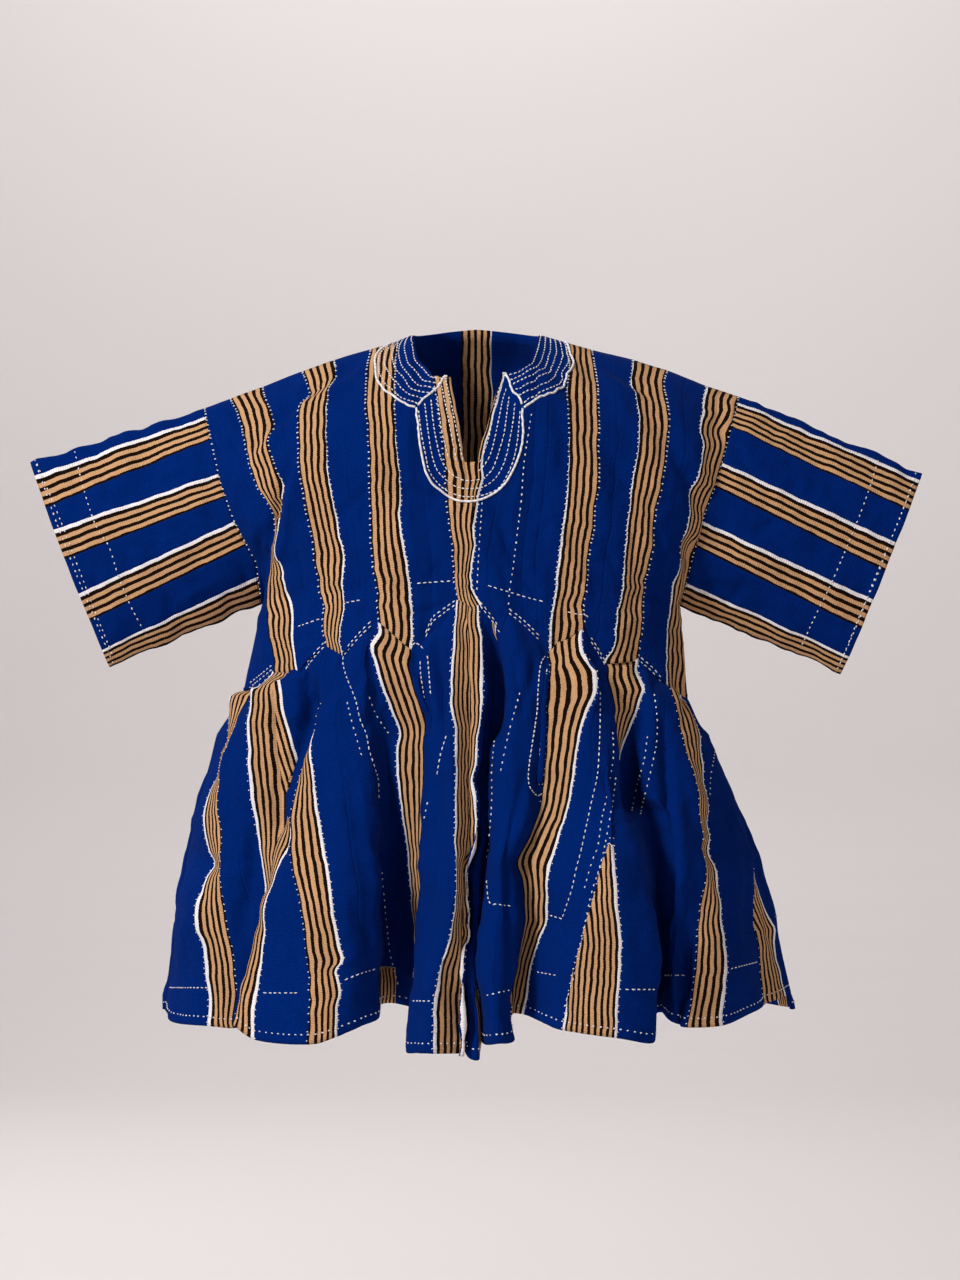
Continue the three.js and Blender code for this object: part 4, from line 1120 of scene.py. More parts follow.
    def build(self, cloth: bpy.types.Material) -> bpy.types.Object:
        """Builds the panel.

        Args:
            cloth: its material.

        Returns:
            The finished object, which stands for its solid.
        """
        self.lay_out()
        columns, rows, reach = self.columns(), self.rows(), self.lengths()
        nc, nr = len(columns) - 1, len(rows) - 1
        bm = bmesh.new()
        readings = bm.loops.layers.uv.new("cloth_mm")
        seam = bm.verts.layers.float.new("seam_mm")
        bmesh.ops.create_grid(bm, x_segments=nc, y_segments=nr, size=0.5)
        spot = {v: (round((v.co.x + 0.5) * nc), round((v.co.y + 0.5) * nr)) for v in bm.verts}
        if self.outward < 0:
            bmesh.ops.reverse_faces(bm, faces=bm.faces)
        cut_away = []
        widths = [self.widths(r) for r in range(nr + 1)]
        for face in bm.faces:
            c0 = min(spot[v][0] for v in face.verts)
            r0 = min(spot[v][1] for v in face.verts)
            index = columns[c0][0]
            if self.gone(index, rows[r0]):
                cut_away.append(face)
            section = self.section(index)
            for loop in face.loops:
                c, r = spot[loop.vert]
                share = 1.0 if columns[c][0] != index else columns[c][1]
                p = self.grid[r][c]
                across = section.reading(share, p.z, widths[r][index], seen(p)[0])
                loop[readings].uv = (across, reach[r][c])
        for vert, (c, r) in spot.items():
            vert.co = self.grid[r][c] * MM
            index, share = columns[c]
            vert[seam] = min(share, 1 - share) * widths[r][index]
        bmesh.ops.delete(bm, geom=cut_away, context="FACES")
        if self.closed:
            bmesh.ops.remove_doubles(bm, verts=bm.verts, dist=0.05 * MM)
        mesh = bpy.data.meshes.new(self.node + "_cloth")
        bm.to_mesh(mesh)
        bm.free()
        mesh.polygons.foreach_set("use_smooth", [True] * len(mesh.polygons))
        mesh.materials.append(cloth)
        made = bpy.data.objects.new(self.node + "_cloth", mesh)
        bpy.context.scene.collection.objects.link(made)
        wall = made.modifiers.new("wall", "SOLIDIFY")
        wall.thickness, wall.offset, wall.use_even_offset = self.wall * MM, -1.0, False
        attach(made, "root")
        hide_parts(self.node)
        LOG.info("%s: %d faces", made.name, len(mesh.polygons))
        return made

    def widths(self, r: int) -> list[float]:
        """Width of each section at a row of the grid, in millimetres."""
        found, c = [], 0
        for i in range(len(self.lines()) - 1):
            n = self.steps(i)
            row = self.grid[r][c:c + n + 1]
            found.append(sum((b - a).length for a, b in zip(row, row[1:])))
            c += n
        return found

    def line_column(self, name: str) -> int:
        """The grid's column at a named line."""
        index = self.lines().index(name)
        return sum(self.steps(i) for i in range(index))


@dataclass
class FrontBodice(ClothPanel):
    """The front: strips whip-stitched edge to edge, with a round neck and a V slit."""

    band_steps: int = 11
    blue_steps: int = 15

    def lines(self) -> list[str]:
        """Names of the lengthwise lines."""
        return [line[0] for line in FRONT_LINES]

    def rows(self) -> list[float]:
        """Rows from the ridge to the waist seam, closer together where the form turns."""
        top = [0, 0.02, 0.045, 0.075, 0.11, 0.15, 0.2, 0.25, 0.3, 0.35, 0.4, 0.45, 0.5, 0.55,
               0.6, 0.65, 0.7, 0.75, 0.8, SLIT_ROW, 0.88, 0.92, 0.96]
        chest = [1 + k / 11 for k in range(22)]
        waist = [3, 3.05, 3.1, 3.15, 3.2, 3.26, ARMPIT_ROW]
        skirtward = [mix(ARMPIT_ROW, 4, k / 26) for k in range(1, 27)]
        return [*top, *chest, *waist, *skirtward]

    def steps(self, index: int) -> int:
        """Bands are finer than plain strips, because they pucker."""
        name = self.lines()[index]
        if name in ("slit_l", "slit_m", "slit_r"):
            return 2
        return self.band_steps if "band" in name and name.endswith("_l") else self.blue_steps

    def section(self, index: int) -> Section:
        """The stripes between two lines."""
        bands = {
            "band3_l": Section(DARK_EDGE, WHITE_EDGE, turns=-197.0, trim=4.6),
            "band2_l": Section(DARK_EDGE, WHITE_EDGE - 2.0, trim=1.4),
            "band1_l": Section(DARK_EDGE, WHITE_EDGE - 1.8, trim=1.8),
            "band0_l": Section(DARK_EDGE, 18.0),
            "slit_l": Section(18.0, 24.0),
            "slit_m": Section(24.0, 29.5),
            "slit_r": Section(25.0, 33.5),
            "rband1_l": Section(WHITE_EDGE - 1.6, DARK_EDGE, trim=2.2),
            "rband2_l": Section(WHITE_EDGE - 2.2, DARK_EDGE, trim=0.8),
            "rband3_l": Section(WHITE_EDGE - 1.6, 17.0),
            "rband3_m": Section(17.0, DARK_EDGE),
        }
        return bands.get(self.lines()[index], Section())

    def gone(self, index: int, row: float) -> bool:
        """The neck slit is open."""
        return self.lines()[index] in ("slit_l", "slit_m") and row < SLIT_ROW - 1e-6

    def on_line(self, line: tuple, row: float) -> tuple[float, float]:
        """X and z of a line at a row."""
        name, x_top, z_top, x_chest, x_arm, x_waist, x_seam, z_seam = line
        if name.startswith("side"):
            x = FORM.side_x("left" if name == "side_l" else "right", row)
        else:
            x = smooth([x_top, x_chest, x_arm, x_waist, x_seam], row)
        return x, FORM.row_z(z_top, z_seam, row)

    def place(self, index: int, share: float, row: float) -> Vector:
        """The front's outer face."""
        (xa, za), (xb, zb) = (self.on_line(FRONT_LINES[index + k], row) for k in (0, 1))
        x, z = mix(xa, xb, share), mix(za, zb, share)
        return self.settle(Vector((x, 0.0, z)), row)

    def settle(self, p: Vector, row: float) -> Vector:
        """A moved point put back on the form."""
        return Vector((p.x, -max(FORM.depth(p.x, p.z, row, Side.FRONT), SEAM_GAP / 2), p.z))

    def lower_edge(self) -> list[Vector]:
        """The waist seam, a point for each line."""
        last = len(FRONT_LINES) - 1
        return [self.place(min(i, last - 1), float(i == last), 4) for i in range(last + 1)]


BACK_LINES = [  # (name, share of the half width at the ridge, at the waist seam)
    ("side_l", -1.0, -1.0), ("b3_l", -0.903, -0.88), ("b3_r", -0.789, -0.745),
    ("b2_l", -0.636, -0.63), ("b2_r", -0.532, -0.5), ("b1_l", -0.383, -0.38),
    ("b1_r", -0.299, -0.25), ("b0_l", -0.06, -0.065), ("b0_r", 0.06, 0.065),
    ("b4_l", 0.345, 0.25), ("b4_r", 0.439, 0.38), ("b5_l", 0.598, 0.5), ("b5_r", 0.723, 0.63),
    ("b6_l", 0.878, 0.78), ("side_r", 1.0, 1.0),
]


@dataclass
class BackBodice(ClothPanel):
    """The back: the same strips run on over the shoulders, under a plain round neck."""

    outward: int = 1
    outward_y: int = 1
    seam_z: float = -312.0
    seam_tooth: float = 11.0

    def lines(self) -> list[str]:
        """Names of the lengthwise lines."""
        return [line[0] for line in BACK_LINES]

    def rows(self) -> list[float]:
        """Rows from the ridge to the waist seam."""
        return [*(0.06 * k for k in range(14)), SLIT_ROW, *(1 + 0.2 * k for k in range(10)),
                3, 3.1, 3.2, ARMPIT_ROW, *(mix(ARMPIT_ROW, 4, k / 12) for k in range(1, 13))]

    def steps(self, index: int) -> int:
        """Columns in a section."""
        name = self.lines()[index]
        return 16 if name in ("b1_r", "b0_r") else 9

    def section(self, index: int) -> Section:
        """The stripes between two lines."""
        name = self.lines()[index]
        if not (name.startswith("b") and name.endswith("_l")):
            return Section()
        if name in ("b4_l", "b5_l", "b6_l"):
            return Section(WHITE_EDGE - 2.3, DARK_EDGE)
        return Section(DARK_EDGE, WHITE_EDGE - 2.3)

    def lower_z(self, q: float) -> float:
        """The waist seam's height: it falls to the sides in teeth."""
        side = FRONT_LINES[0 if q < 0 else -1][7]
        out = abs(q)
        tooth = 1 - abs(2 * ((out * 4) % 1.0) - 1)
        return mix(self.seam_z, side, out ** 1.2) - self.seam_tooth * tooth * (1 - out ** 8)

    def at_share(self, q: float, row: float) -> Vector:
        """The back's outer face at a signed share of the half width."""
        side = "left" if q < 0 else "right"
        x = abs(q) * FORM.side_x(side, row)
        top = abs(q) * FORM.side_x(side, 0)
        nape = clamp01(1 - (top / FORM.neck_half_width) ** 2)
        z = FORM.row_z(read_table(RIDGE, top) + FORM.nape_rise * nape, self.lower_z(q), row)
        return Vector((x, max(FORM.depth(x, z, row, Side.BACK), SEAM_GAP / 2), z))

    def place(self, index: int, share: float, row: float) -> Vector:
        """The back's outer face."""
        down = row / 4
        a, b = (mix(BACK_LINES[index + k][1], BACK_LINES[index + k][2], down) for k in (0, 1))
        return self.at_share(mix(a, b, share), row)

    def lower_edge(self) -> list[Vector]:
        """The waist seam as a fine run of points."""
        return [self.at_share(-1 + 2 * k / 96, 4) for k in range(97)]


SLEEVE_LINES = {  # (name, share of the way down at the armhole, at the cuff); the fold is 0
    "left": [("top", 0.0, 0.0), ("s1_w", 0.045, 0.065), ("s1_e", 0.17, 0.225),
             ("s2_w", 0.345, 0.33), ("s2_e", 0.465, 0.475), ("s3_w", 0.585, 0.64),
             ("s3_e", 0.705, 0.775), ("s4_w", 0.86, 0.915), ("under", 1.0, 1.0)],
    "right": [("top", 0.0, 0.0), ("s1_w", 0.03, 0.03), ("s1_e", 0.155, 0.19),
              ("s2_w", 0.325, 0.345), ("s2_e", 0.44, 0.49), ("s3_w", 0.6, 0.63),
              ("s3_e", 0.72, 0.775), ("s4_w", 0.89, 0.91), ("under", 1.0, 1.0)],
}
CUFFS = {"left": ((-505.0, -132.0), (-415.0, -364.0)), "right": ((503.0, -145.0), (411.0, -371.0))}


@dataclass
class Sleeve(ClothPanel):
    """A wide cropped sleeve: strips that run along the arm, folded on top, sewn underneath."""

    side: str = "left"
    cuff_depth: float = 27.0
    length_steps: int = 64
    full_bands: tuple[str, ...] = ()
    crumple: float = 4.6
    sway_share: float = 0.0

    def lines(self) -> list[str]:
        """Lines down the front and up the back, as one loop from the fold on top."""
        names = [name for name, _, _ in SLEEVE_LINES[self.side]]
        return names + [name + "_back" for name in reversed(names[:-1])]

    def rows(self) -> list[float]:
        """Shares of the way from the armhole to the cuff."""
        return [k / self.length_steps for k in range(self.length_steps + 1)]

    def steps(self, index: int) -> int:
        """Columns in a section: finer where the tube turns over at the top and underneath."""
        n = len(SLEEVE_LINES[self.side]) - 1
        return 10 if index in (0, n - 1, n, 2 * n - 1) else 9

    def section(self, index: int) -> Section:
        """The stripes between two lines: white edge uppermost, one tan turned under."""
        names = [name for name, _, _ in SLEEVE_LINES[self.side]]
        last = len(names) - 1
        behind = index >= last
        upper = 2 * last - 1 - index if behind else index
        if not names[upper].endswith("_w"):
            return Section()
        cut = DARK_EDGE if names[upper] in self.full_bands else 7.0
        return Section(cut, WHITE_EDGE) if behind else Section(WHITE_EDGE, cut)

    def down_at(self, index: int, row: float) -> tuple[float, float]:
        """How far down the sleeve a line lies, and the sign of Y of its face."""
        table = SLEEVE_LINES[self.side]
        n = len(table) - 1
        place = index if index <= n else 2 * n - index
        return mix(table[place][1], table[place][2], row), -1.0 if index <= n else 1.0

    def armhole(self, down: float, face: float) -> Vector:
        """A point of the armhole seam, at a share of the way down it."""
        sign = -1 if self.side == "left" else 1
        line = FRONT_LINES[0 if self.side == "left" else -1]
        z_low = FORM.row_z(line[2], line[7], ARMPIT_ROW)
        z = mix(line[2], z_low, down)
        knots = [(-line[2], 0.0), (-CHEST_Z, 1.0), (-ARM_Z, 2.0), (-WAIST_Z, 3.0), (-line[7], 4.0)]
        row = read_table(knots, -z)
        depth = FORM.hole_depth(row) if 0.0 < down < 1.0 else 0.0
        return Vector((FORM.side_x(self.side, row) + sign * SEAM_GAP, face * depth, z))

    def place(self, index: int, share: float, row: float) -> Vector:
        """The sleeve's outer face."""
        (da, fa), (db, fb) = self.down_at(index, row), self.down_at(index + 1, row)
        down = mix(da, db, share)
        face = fa if index < len(SLEEVE_LINES[self.side]) - 1 else fb
        start = self.armhole(down, face)
        (tx, tz), (bx, bz) = CUFFS[self.side]
        depth = self.cuff_depth * math.sin(math.pi * clamp01(down)) ** 0.6
        end = Vector((mix(tx, bx, down), face * depth, mix(tz, bz, down)))
        return start.lerp(end, row)


SKIRT_SECTIONS = {  # by the line on the left
    "sa_l": Section(WHITE_EDGE, DARK_EDGE, keep=Keep.LEFT),
    "sb_l": Section(-WHITE_EDGE, -3.0, keep=Keep.LEFT, ends=-615.0),
    "sb_m": Section(-3.0, WHITE_EDGE, ends=-615.0,
                    edge=((-222, -378), (-217, -412), (-206, -450), (-190, -500))),
    "sc_l": Section(6.0, WHITE_EDGE, tip=-527.0, gather=0.3),
    "sd_l": Section(DARK_EDGE, WHITE_EDGE, tip=-414.0),
    "v2_l": Section(-9.0, WHITE_EDGE - 9, tip=-688.0),
    "se_l": Section(WHITE_EDGE, DARK_EDGE, keep=Keep.LEFT),
    "c_l": Section(-WHITE_EDGE, -4.0, keep=Keep.LEFT),
    "c_m": Section(14.0, WHITE_EDGE),
    "f4_r": Section(12.0, WHITE_EDGE, tip=-705.0),
    "v4": Section(14.0, WHITE_EDGE, ends=-385.0),
    "sg_l": Section(DARK_EDGE, WHITE_EDGE),
    "sh_l": Section(-WHITE_EDGE, WHITE_EDGE, tip=-548.0, gather=0.9),
    "si_l": Section(DARK_EDGE, WHITE_EDGE, ends=-466.0, gather=0.9),
    "sj_l": Section(DARK_EDGE, WHITE_EDGE),
    "sk_l": Section(-8.0, WHITE_EDGE, tip=-578.0, gather=0.5, taper=80.0),
}


@dataclass
class FrontSkirt(ClothPanel):
    """The front skirt: strips and gores, gathered into the waist seam and hanging in flutes."""

    waist: FrontBodice | None = None
    tuck: float = 5.0          # the gathered edge runs this far up behind the bodice
    puff: float = 5.0
    row_count: int = 104
    table: list[tuple] = field(default_factory=list)
    pleat_depth: float = 13.0

    def __post_init__(self) -> None:
        """Adds the bottom of the deep pleat in the centre band, and the last gore's edge."""
        self.table = []
        for line, after in zip(SKIRT_LINES, [*SKIRT_LINES[1:], None]):
            self.table.append(line)
            if line[0] == "c_l":
                middle = [mix(a, b, 0.52) for a, b in zip(line[1:], after[1:])]
                for k in (2, 4, 6):
                    middle[k] += self.pleat_depth
                self.table.append(("c_m", *middle))
            if line[0] == "sk_l":
                self.table.append(("sk_r", *(mix(a, b, 0.72)
                                             for a, b in zip(line[1:], after[1:]))))
        self.seam = self.waist.lower_edge()

    def lines(self) -> list[str]:
        """Names of the lengthwise lines."""
        return [line[0] for line in self.table]

    def rows(self) -> list[float]:
        """Rows: 0 waist seam, 1 high, 2 middle, 3 hem, and a tucked edge above the seam."""
        gathers = [-0.06, 0.0, 0.04, 0.08, 0.13, 0.18, 0.24, 0.3]
        rest = self.row_count - len(gathers)
        return gathers + [mix(0.3, 3.0, (k + 1) / rest) for k in range(rest)]

    def steps(self, index: int) -> int:
        """Columns in a section."""
        return 8

    def fade(self, row: float) -> float:
        """The courses start from the waist seam."""
        return soft_step(row / 0.2)

    def section(self, index: int) -> Section:
        """The stripes between two lines."""
        return SKIRT_SECTIONS.get(self.lines()[index], Section())

    def seam_at(self, x: float) -> Vector:
        """The waist seam at x."""
        c = 1
        while c < len(self.seam) - 1 and self.seam[c].x < x:
            c += 1
        a, b = self.seam[c - 1], self.seam[c]
        return a.lerp(b, clamp01((x - a.x) / (b.x - a.x)))

    def place(self, index: int, share: float, row: float) -> Vector:
        """The skirt's outer face."""
        key = index + share
        names = [line[0] for line in SKIRT_LINES]
        if self.lines()[index] in ("c_l", "c_m", "sk_l", "sk_r"):
            a, b = self.table[index], self.table[index + 1]
            values = [mix(p, q, share) for p, q in zip(a[1:], b[1:])]
        else:
            whole = key if key <= names.index("c_l") else key - 1
            values = [smooth([line[k] for line in SKIRT_LINES], whole) for k in range(1, 9)]
            low = min(int(whole), len(names) - 2)
            values[0] = mix(SKIRT_LINES[low][1], SKIRT_LINES[low + 1][1], whole - low)
        seam_x, x_high, y_high, x_mid, y_mid, x_hem, y_hem, z_hem = values
        seam = self.seam_at(seam_x)
        if row < 0:
            inward = Vector((0.0, 1.0, 0.0)) * 2.4
            return seam + inward + Vector((0.0, 0.0, self.tuck))
        x = smooth([seam.x, x_high, x_mid, x_hem], row)
        z = read_table([(0, seam.z), (1, HIGH_Z), (2, MID_Z), (3, z_hem)], row)
        if key <= 0 or key >= len(self.table) - 1:
            return Vector((x, -SEAM_GAP / 2, z))
        puff = self.puff * math.sin(math.pi * clamp01(row / 0.9)) * clamp01(abs(seam.y) / 60)
        y = smooth([seam.y, y_high, y_mid, y_hem], row) - puff
        return Vector((x, y, z))


def back_skirt_sections() -> list[tuple[str, float, float, Section]]:
    """The back skirt's lines: eight bands and three gores between plain strips.

    Returns:
        (name, share of the width at the seam, at the hem, the section right of it).
    """
    bands = [0.045, 0.17, 0.295, 0.425, 0.545, 0.67, 0.795, 0.92]
    gores = [0.235, 0.485, 0.735]
    found = [("side_l", 0.0, 0.0, Section())]
    for k, middle in enumerate(bands):
        white_right = k < 4
        section = (Section(DARK_EDGE, WHITE_EDGE) if white_right
                   else Section(WHITE_EDGE, DARK_EDGE))
        found.append((f"w{k}_l", middle - 0.024, middle - 0.016, section))
        found.append((f"w{k}_r", middle + 0.024, middle + 0.016, Section()))
    for k, middle in enumerate(gores):
        section = Section(-12.0, WHITE_EDGE, tip=-500.0, gather=0.8, taper=130.0)
        found.append((f"g{k}_l", middle - 0.002, middle - 0.021, section))
        found.append((f"g{k}_r", middle + 0.002, middle + 0.021, Section()))
    found.append(("side_r", 1.0, 1.0, Section()))
    return sorted(found, key=lambda entry: entry[1])


@dataclass
class BackSkirt(ClothPanel):
    """The back skirt: the same strips and gores in even flutes."""

    outward: int = 1
    outward_y: int = 1
    waist: BackBodice | None = None
    tuck: float = 5.0
    puff: float = 5.0
    row_count: int = 64
    entries: list[tuple[str, float, float, Section]] = field(
        default_factory=back_skirt_sections)

    def __post_init__(self) -> None:
        """Reads the back bodice's lower edge."""
        self.seam = self.waist.lower_edge()

    def lines(self) -> list[str]:
        """Names of the lengthwise lines."""
        return [entry[0] for entry in self.entries]

    def rows(self) -> list[float]:
        """Rows: 0 waist seam, 1 high, 2 middle, 3 hem, and a tucked edge above the seam."""
        return [-0.06, *(3 * k / self.row_count for k in range(self.row_count + 1))]

    def steps(self, index: int) -> int:
        """Columns in a section."""
        return 8

    def section(self, index: int) -> Section:
        """The stripes between two lines."""
        return self.entries[index][3]

    def flute(self, t: float) -> tuple[float, float]:
        """The flute at a share of the width: how far through it, and its reach."""
        total = sum(share for share, _ in BACK_FLUTES)
        start = 0.0
        for share, reach in BACK_FLUTES:
            if t * total <= start + share or share is BACK_FLUTES[-1][0]:
                return clamp01((t * total - start) / share), reach
            start += share
        return 1.0, BACK_FLUTES[-1][1]

    def place(self, index: int, share: float, row: float) -> Vector:
        """The back skirt's outer face."""
        down = clamp01(row / 3)
        a, b = (mix(self.entries[index + k][1], self.entries[index + k][2], down)
                for k in (0, 1))
        t = mix(a, b, share)
        within, reach = self.flute(t)
        fall = ((1 - math.cos(2 * math.pi * within)) / 2) ** 1.5
        ridge = 1 - 1.9 * fall
        side = math.sin(math.pi * t) ** 0.5 if 0 < t < 1 else 0.0
        spots = []
        for _, left, right, depth, share_out in BACK_LEVELS:
            middle, half = (left + right) / 2, (right - left) / 2
            out = reach * share_out * ridge * side
            way = Vector((-math.cos(math.pi * t) / half, math.sin(math.pi * t) / depth, 0))
            way.normalize()
            bow = math.sin(math.pi * t) ** 0.9 if 0 < t < 1 else 0.0
            spots.append((middle - half * math.cos(math.pi * t) + way.x * out,
                          depth * bow + way.y * out))
        seam_share = mix(t, (1 - math.cos(math.pi * t)) / 2, 0.4)
        seam = self.seam_at(mix(self.seam[0].x, self.seam[-1].x, seam_share))
        if row < 0:
            return seam + Vector((0.0, -2.4, self.tuck))
        x = smooth([seam.x, *(s[0] for s in spots)], row)
        z_hem = -750.0 - 8.0 * ridge * side
        z = read_table([(0, seam.z), (1, HIGH_Z), (2, MID_Z), (3, z_hem)], row)
        if t <= 0 or t >= 1:
            return Vector((x, SEAM_GAP / 2, z))
        puff = self.puff * math.sin(math.pi * clamp01(row / 0.9)) * clamp01(abs(seam.y) / 60)
        return Vector((x, smooth([seam.y, *(s[1] for s in spots)], row) + puff, z))

    def seam_at(self, x: float) -> Vector:
        """The waist seam at x."""
        c = 1
        while c < len(self.seam) - 1 and self.seam[c].x < x:
            c += 1
        a, b = self.seam[c - 1], self.seam[c]
        return a.lerp(b, clamp01((x - a.x) / (b.x - a.x)))


# ---- trim and sewing ------------------------------------------------------------------------
NECK_RING_CORD = [
    (-68, -98, -82), (-85, -88, -75), (-94, -78, -68), (-104, -62, -54), (-111, -45, -38),
    (-114, -30, -22), (-109, -14, -8), (-98, 0, 3), (-90, 26, -3), (-77, 54, -8), (-48, 80, -10),
    (0, 90, -10), (48, 80, -10), (77, 54, -8), (92, 26, -3), (100, 0, 3), (103, -14, -6),
    (105, -32, -24), (101, -48, -41), (92, -64, -56), (79, -80, -68), (65, -90, -76),
    (53, -98, -81),
]
BIB_CORD = [
    (-66, -98, -83), (-64, -106, -98), (-61, -111, -120), (-58, -116, -142), (-51, -119, -159),
    (-40, -122, -170), (-27, -123, -179), (-12, -124, -182), (4, -123, -180), (20, -122, -172),
    (31, -121, -162), (39, -119, -148), (47, -112, -126), (50, -106, -104), (51, -98, -82),
]
MITRE_LEFT = [(-30, -66, -42), (-44, -85, -61), (-64, -97, -80)]
MITRE_RIGHT = [(27, -65, -40), (39, -84, -60), (50, -96, -78)]


class Cloth:
    """All panels together as one surface that trim and thread are laid on."""

    def __init__(self, panels: Sequence[ClothPanel]) -> None:
        """Gathers the panels' outer faces.

        Args:
            panels: the panels, already laid out.
        """
        spots, faces = [], []
        for panel in panels:
            base, wide = len(spots), len(panel.grid[0])
            spots += [p for row in panel.grid for p in row]
            for r in range(len(panel.grid) - 1):
                for c in range(wide - 1):
                    index = panel.columns()[c][0]
                    if panel.gone(index, panel.rows()[r]):
                        continue
                    a = base + r * wide + c
                    faces.append((a, a + wide, a + wide + 1, a + 1))
        self.tree = BVHTree.FromPolygons(spots, faces)

    def seen_at(self, x: float, z: float) -> tuple[Vector, Vector] | None:
        """The cloth that the eye sees at a place.

        Args:
            x: place across, in the plane of the shoulders.
            z: height, in the same plane.

        Returns:
            The spot and its outward normal, or None past the cloth's edge.
        """
        way = (Vector((x, 0.0, z)) - EYE).normalized()
        spot, normal, _, _ = self.tree.ray_cast(EYE, way)
        if spot is None:
            return None
        return spot, normal if normal.dot(way) < 0 else -normal

    def nearest(self, p: Vector, centre: Vector = Vector((0.0, 0.0, -250.0))
                ) -> tuple[Vector, Vector]:
        """The cloth nearest to a point, with its normal turned away from the wearer."""
        spot, normal, _, _ = self.tree.find_nearest(p)
        out = Vector((spot.x - centre.x, spot.y * 3, spot.z - centre.z))
        return spot, normal if normal.dot(out) > 0 else -normal


@dataclass
class Cord:
    """A round white cord, couched along a route on the bodice. Millimetres."""

    name: str
    route: Sequence[tuple[float, float, float]]
    steps: int
    radius: float = 1.25
    lift: float = 0.7

    def build(self, cloth: Cloth, cotton: bpy.types.Material) -> bpy.types.Object:
        """Builds the cord in place of its solid.

        Args:
            cloth: the surface that it is laid on.
            cotton: its material.

        Returns:
            The cord.
        """
        rough = [Vector(p) for p in self.route]
        curved = [Vector(tuple(smooth([p[k] for p in rough], t * (len(rough) - 1) / 120)
                               for k in range(3))) for t in range(121)]
        path = resample(curved, self.steps)
        laid = []
        for p in path:
            spot, normal = cloth.nearest(p)
            laid.append(spot + normal * self.lift)
        data = bpy.data.curves.new(self.name + "_cotton", "CURVE")
        data.dimensions = "3D"
        data.bevel_depth, data.bevel_resolution = self.radius * MM, 2
        data.use_fill_caps = True
        spline = data.splines.new("POLY")
        spline.points.add(len(laid) - 1)
        for point, p in zip(spline.points, laid):
            point.co = (*(p * MM), 1.0)
        data.materials.append(cotton)
        made = bpy.data.objects.new(self.name + "_cotton", data)
        bpy.context.scene.collection.objects.link(made)
        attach(made, "root")
        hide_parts(self.name)
        return made


@dataclass(frozen=True)
class Stitch:
    """One kind of hand stitch. Millimetres."""

    length: float
    gap: float
    radius: float


RUNNING = Stitch(3.4, 3.4, 0.7)
CLOSE_RUNNING = Stitch(3.1, 2.2, 0.75)
DOTTED = Stitch(2.0, 5.6, 0.8)
WHIP = Stitch(1.4, 7.4, 0.72)
SKIRT_WHIP = Stitch(1.0, 10.5, 0.6)


# Rows of stitches.
BODICE_LINES = placed_lines([  # (stitch, readings at the corners of its line)
    (DOTTED, [(532, 412), (528, 435), (524, 465), (521, 500), (518, 530), (514, 560), (510, 590),
        (508, 610)]),
    (DOTTED, [(482, 500), (480, 540), (477, 590)]),
    (RUNNING, [(416, 583), (455, 581)]),
    (RUNNING, [(345, 603), (360, 600)]),
    (RUNNING, [(297, 627), (320, 619)]),
    (RUNNING, [(487, 585), (510, 592), (530, 598), (545, 602)]),
    (RUNNING, [(566, 612), (578, 614), (585, 615), (592, 620)]),
])
WAIST_LINES = placed_lines([  # (stitch, readings at the corners of its line)
    (RUNNING, [(456, 604), (440, 615), (432, 622), (424, 641)]),
    (RUNNING, [(372, 624), (358, 637), (344, 654)]),
    (RUNNING, [(325, 645), (315, 656), (304, 670)]),
    (RUNNING, [(273, 668), (262, 677), (249, 688)]),
    (RUNNING, [(480, 605), (490, 618), (500, 632)]),
    (RUNNING, [(508, 612), (525, 625), (540, 640)]),
    (RUNNING, [(590, 640), (598, 652), (605, 665)]),
    (RUNNING, [(640, 660), (652, 671), (663, 683)]),
])
SKIRT_LINES_SEWN = placed_lines([  # (stitch, readings at the corners of its line)
    (RUNNING, [(343, 655), (343, 665), (348, 680), (356, 700), (360, 720), (366, 735),
        (369, 750), (375, 770), (378, 780), (379, 800)]),
    (DOTTED, [(347, 700), (352, 722), (362, 757)]),
    (DOTTED, [(368, 695), (374, 712), (382, 725), (389, 735)]),
    (DOTTED, [(381, 870), (386, 920), (390, 955), (398, 985)]),
    (RUNNING, [(600, 690), (600, 720), (599, 750), (597, 775), (592, 800), (587, 825),
        (581, 850), (576, 870), (572, 890), (562, 920)]),
    (DOTTED, [(612, 730), (613, 755), (610, 780), (606, 800), (602, 820), (598, 845), (592, 862),
        (583, 893)]),
    (DOTTED, [(616, 775), (611, 815), (602, 860), (591, 895), (584, 930), (574, 975),
        (564, 1010)]),
    (DOTTED, [(654, 692), (657, 715), (657, 740), (652, 765), (645, 795), (640, 815)]),
    (DOTTED, [(648, 735), (644, 760), (636, 790), (632, 812)]),
    (DOTTED, [(495, 740), (492, 770), (492, 800), (489, 840), (486, 865)]),
    (RUNNING, [(487, 880), (489, 902), (498, 905), (514, 906)]),
    (RUNNING, [(447, 735), (441, 755), (436, 780)]),
    (DOTTED, [(428, 800), (426, 812), (424, 822)]),
    (DOTTED, [(520, 690), (512, 720), (506, 745), (500, 775)]),
    (DOTTED, [(715, 750), (711, 775), (710, 795)]),
])
POCKET_STITCHES = placed_lines([  # (stitch, readings at the corners of its line)
    (CLOSE_RUNNING, [(545, 656), (541, 665), (538, 690), (537, 710), (533, 740), (529, 765),
        (528, 780), (531, 790), (537, 796), (542, 794)]),
    (CLOSE_RUNNING, [(547, 668), (545, 690), (543, 715), (541, 740), (539, 765), (538, 780),
        (541, 788)]),
    (CLOSE_RUNNING, [(420, 660), (421, 678), (425, 700), (429, 714)]),
    (CLOSE_RUNNING, [(427, 655), (429, 675), (431, 695)]),
    (CLOSE_RUNNING, [(411, 650), (415, 643), (425, 650)]),
])
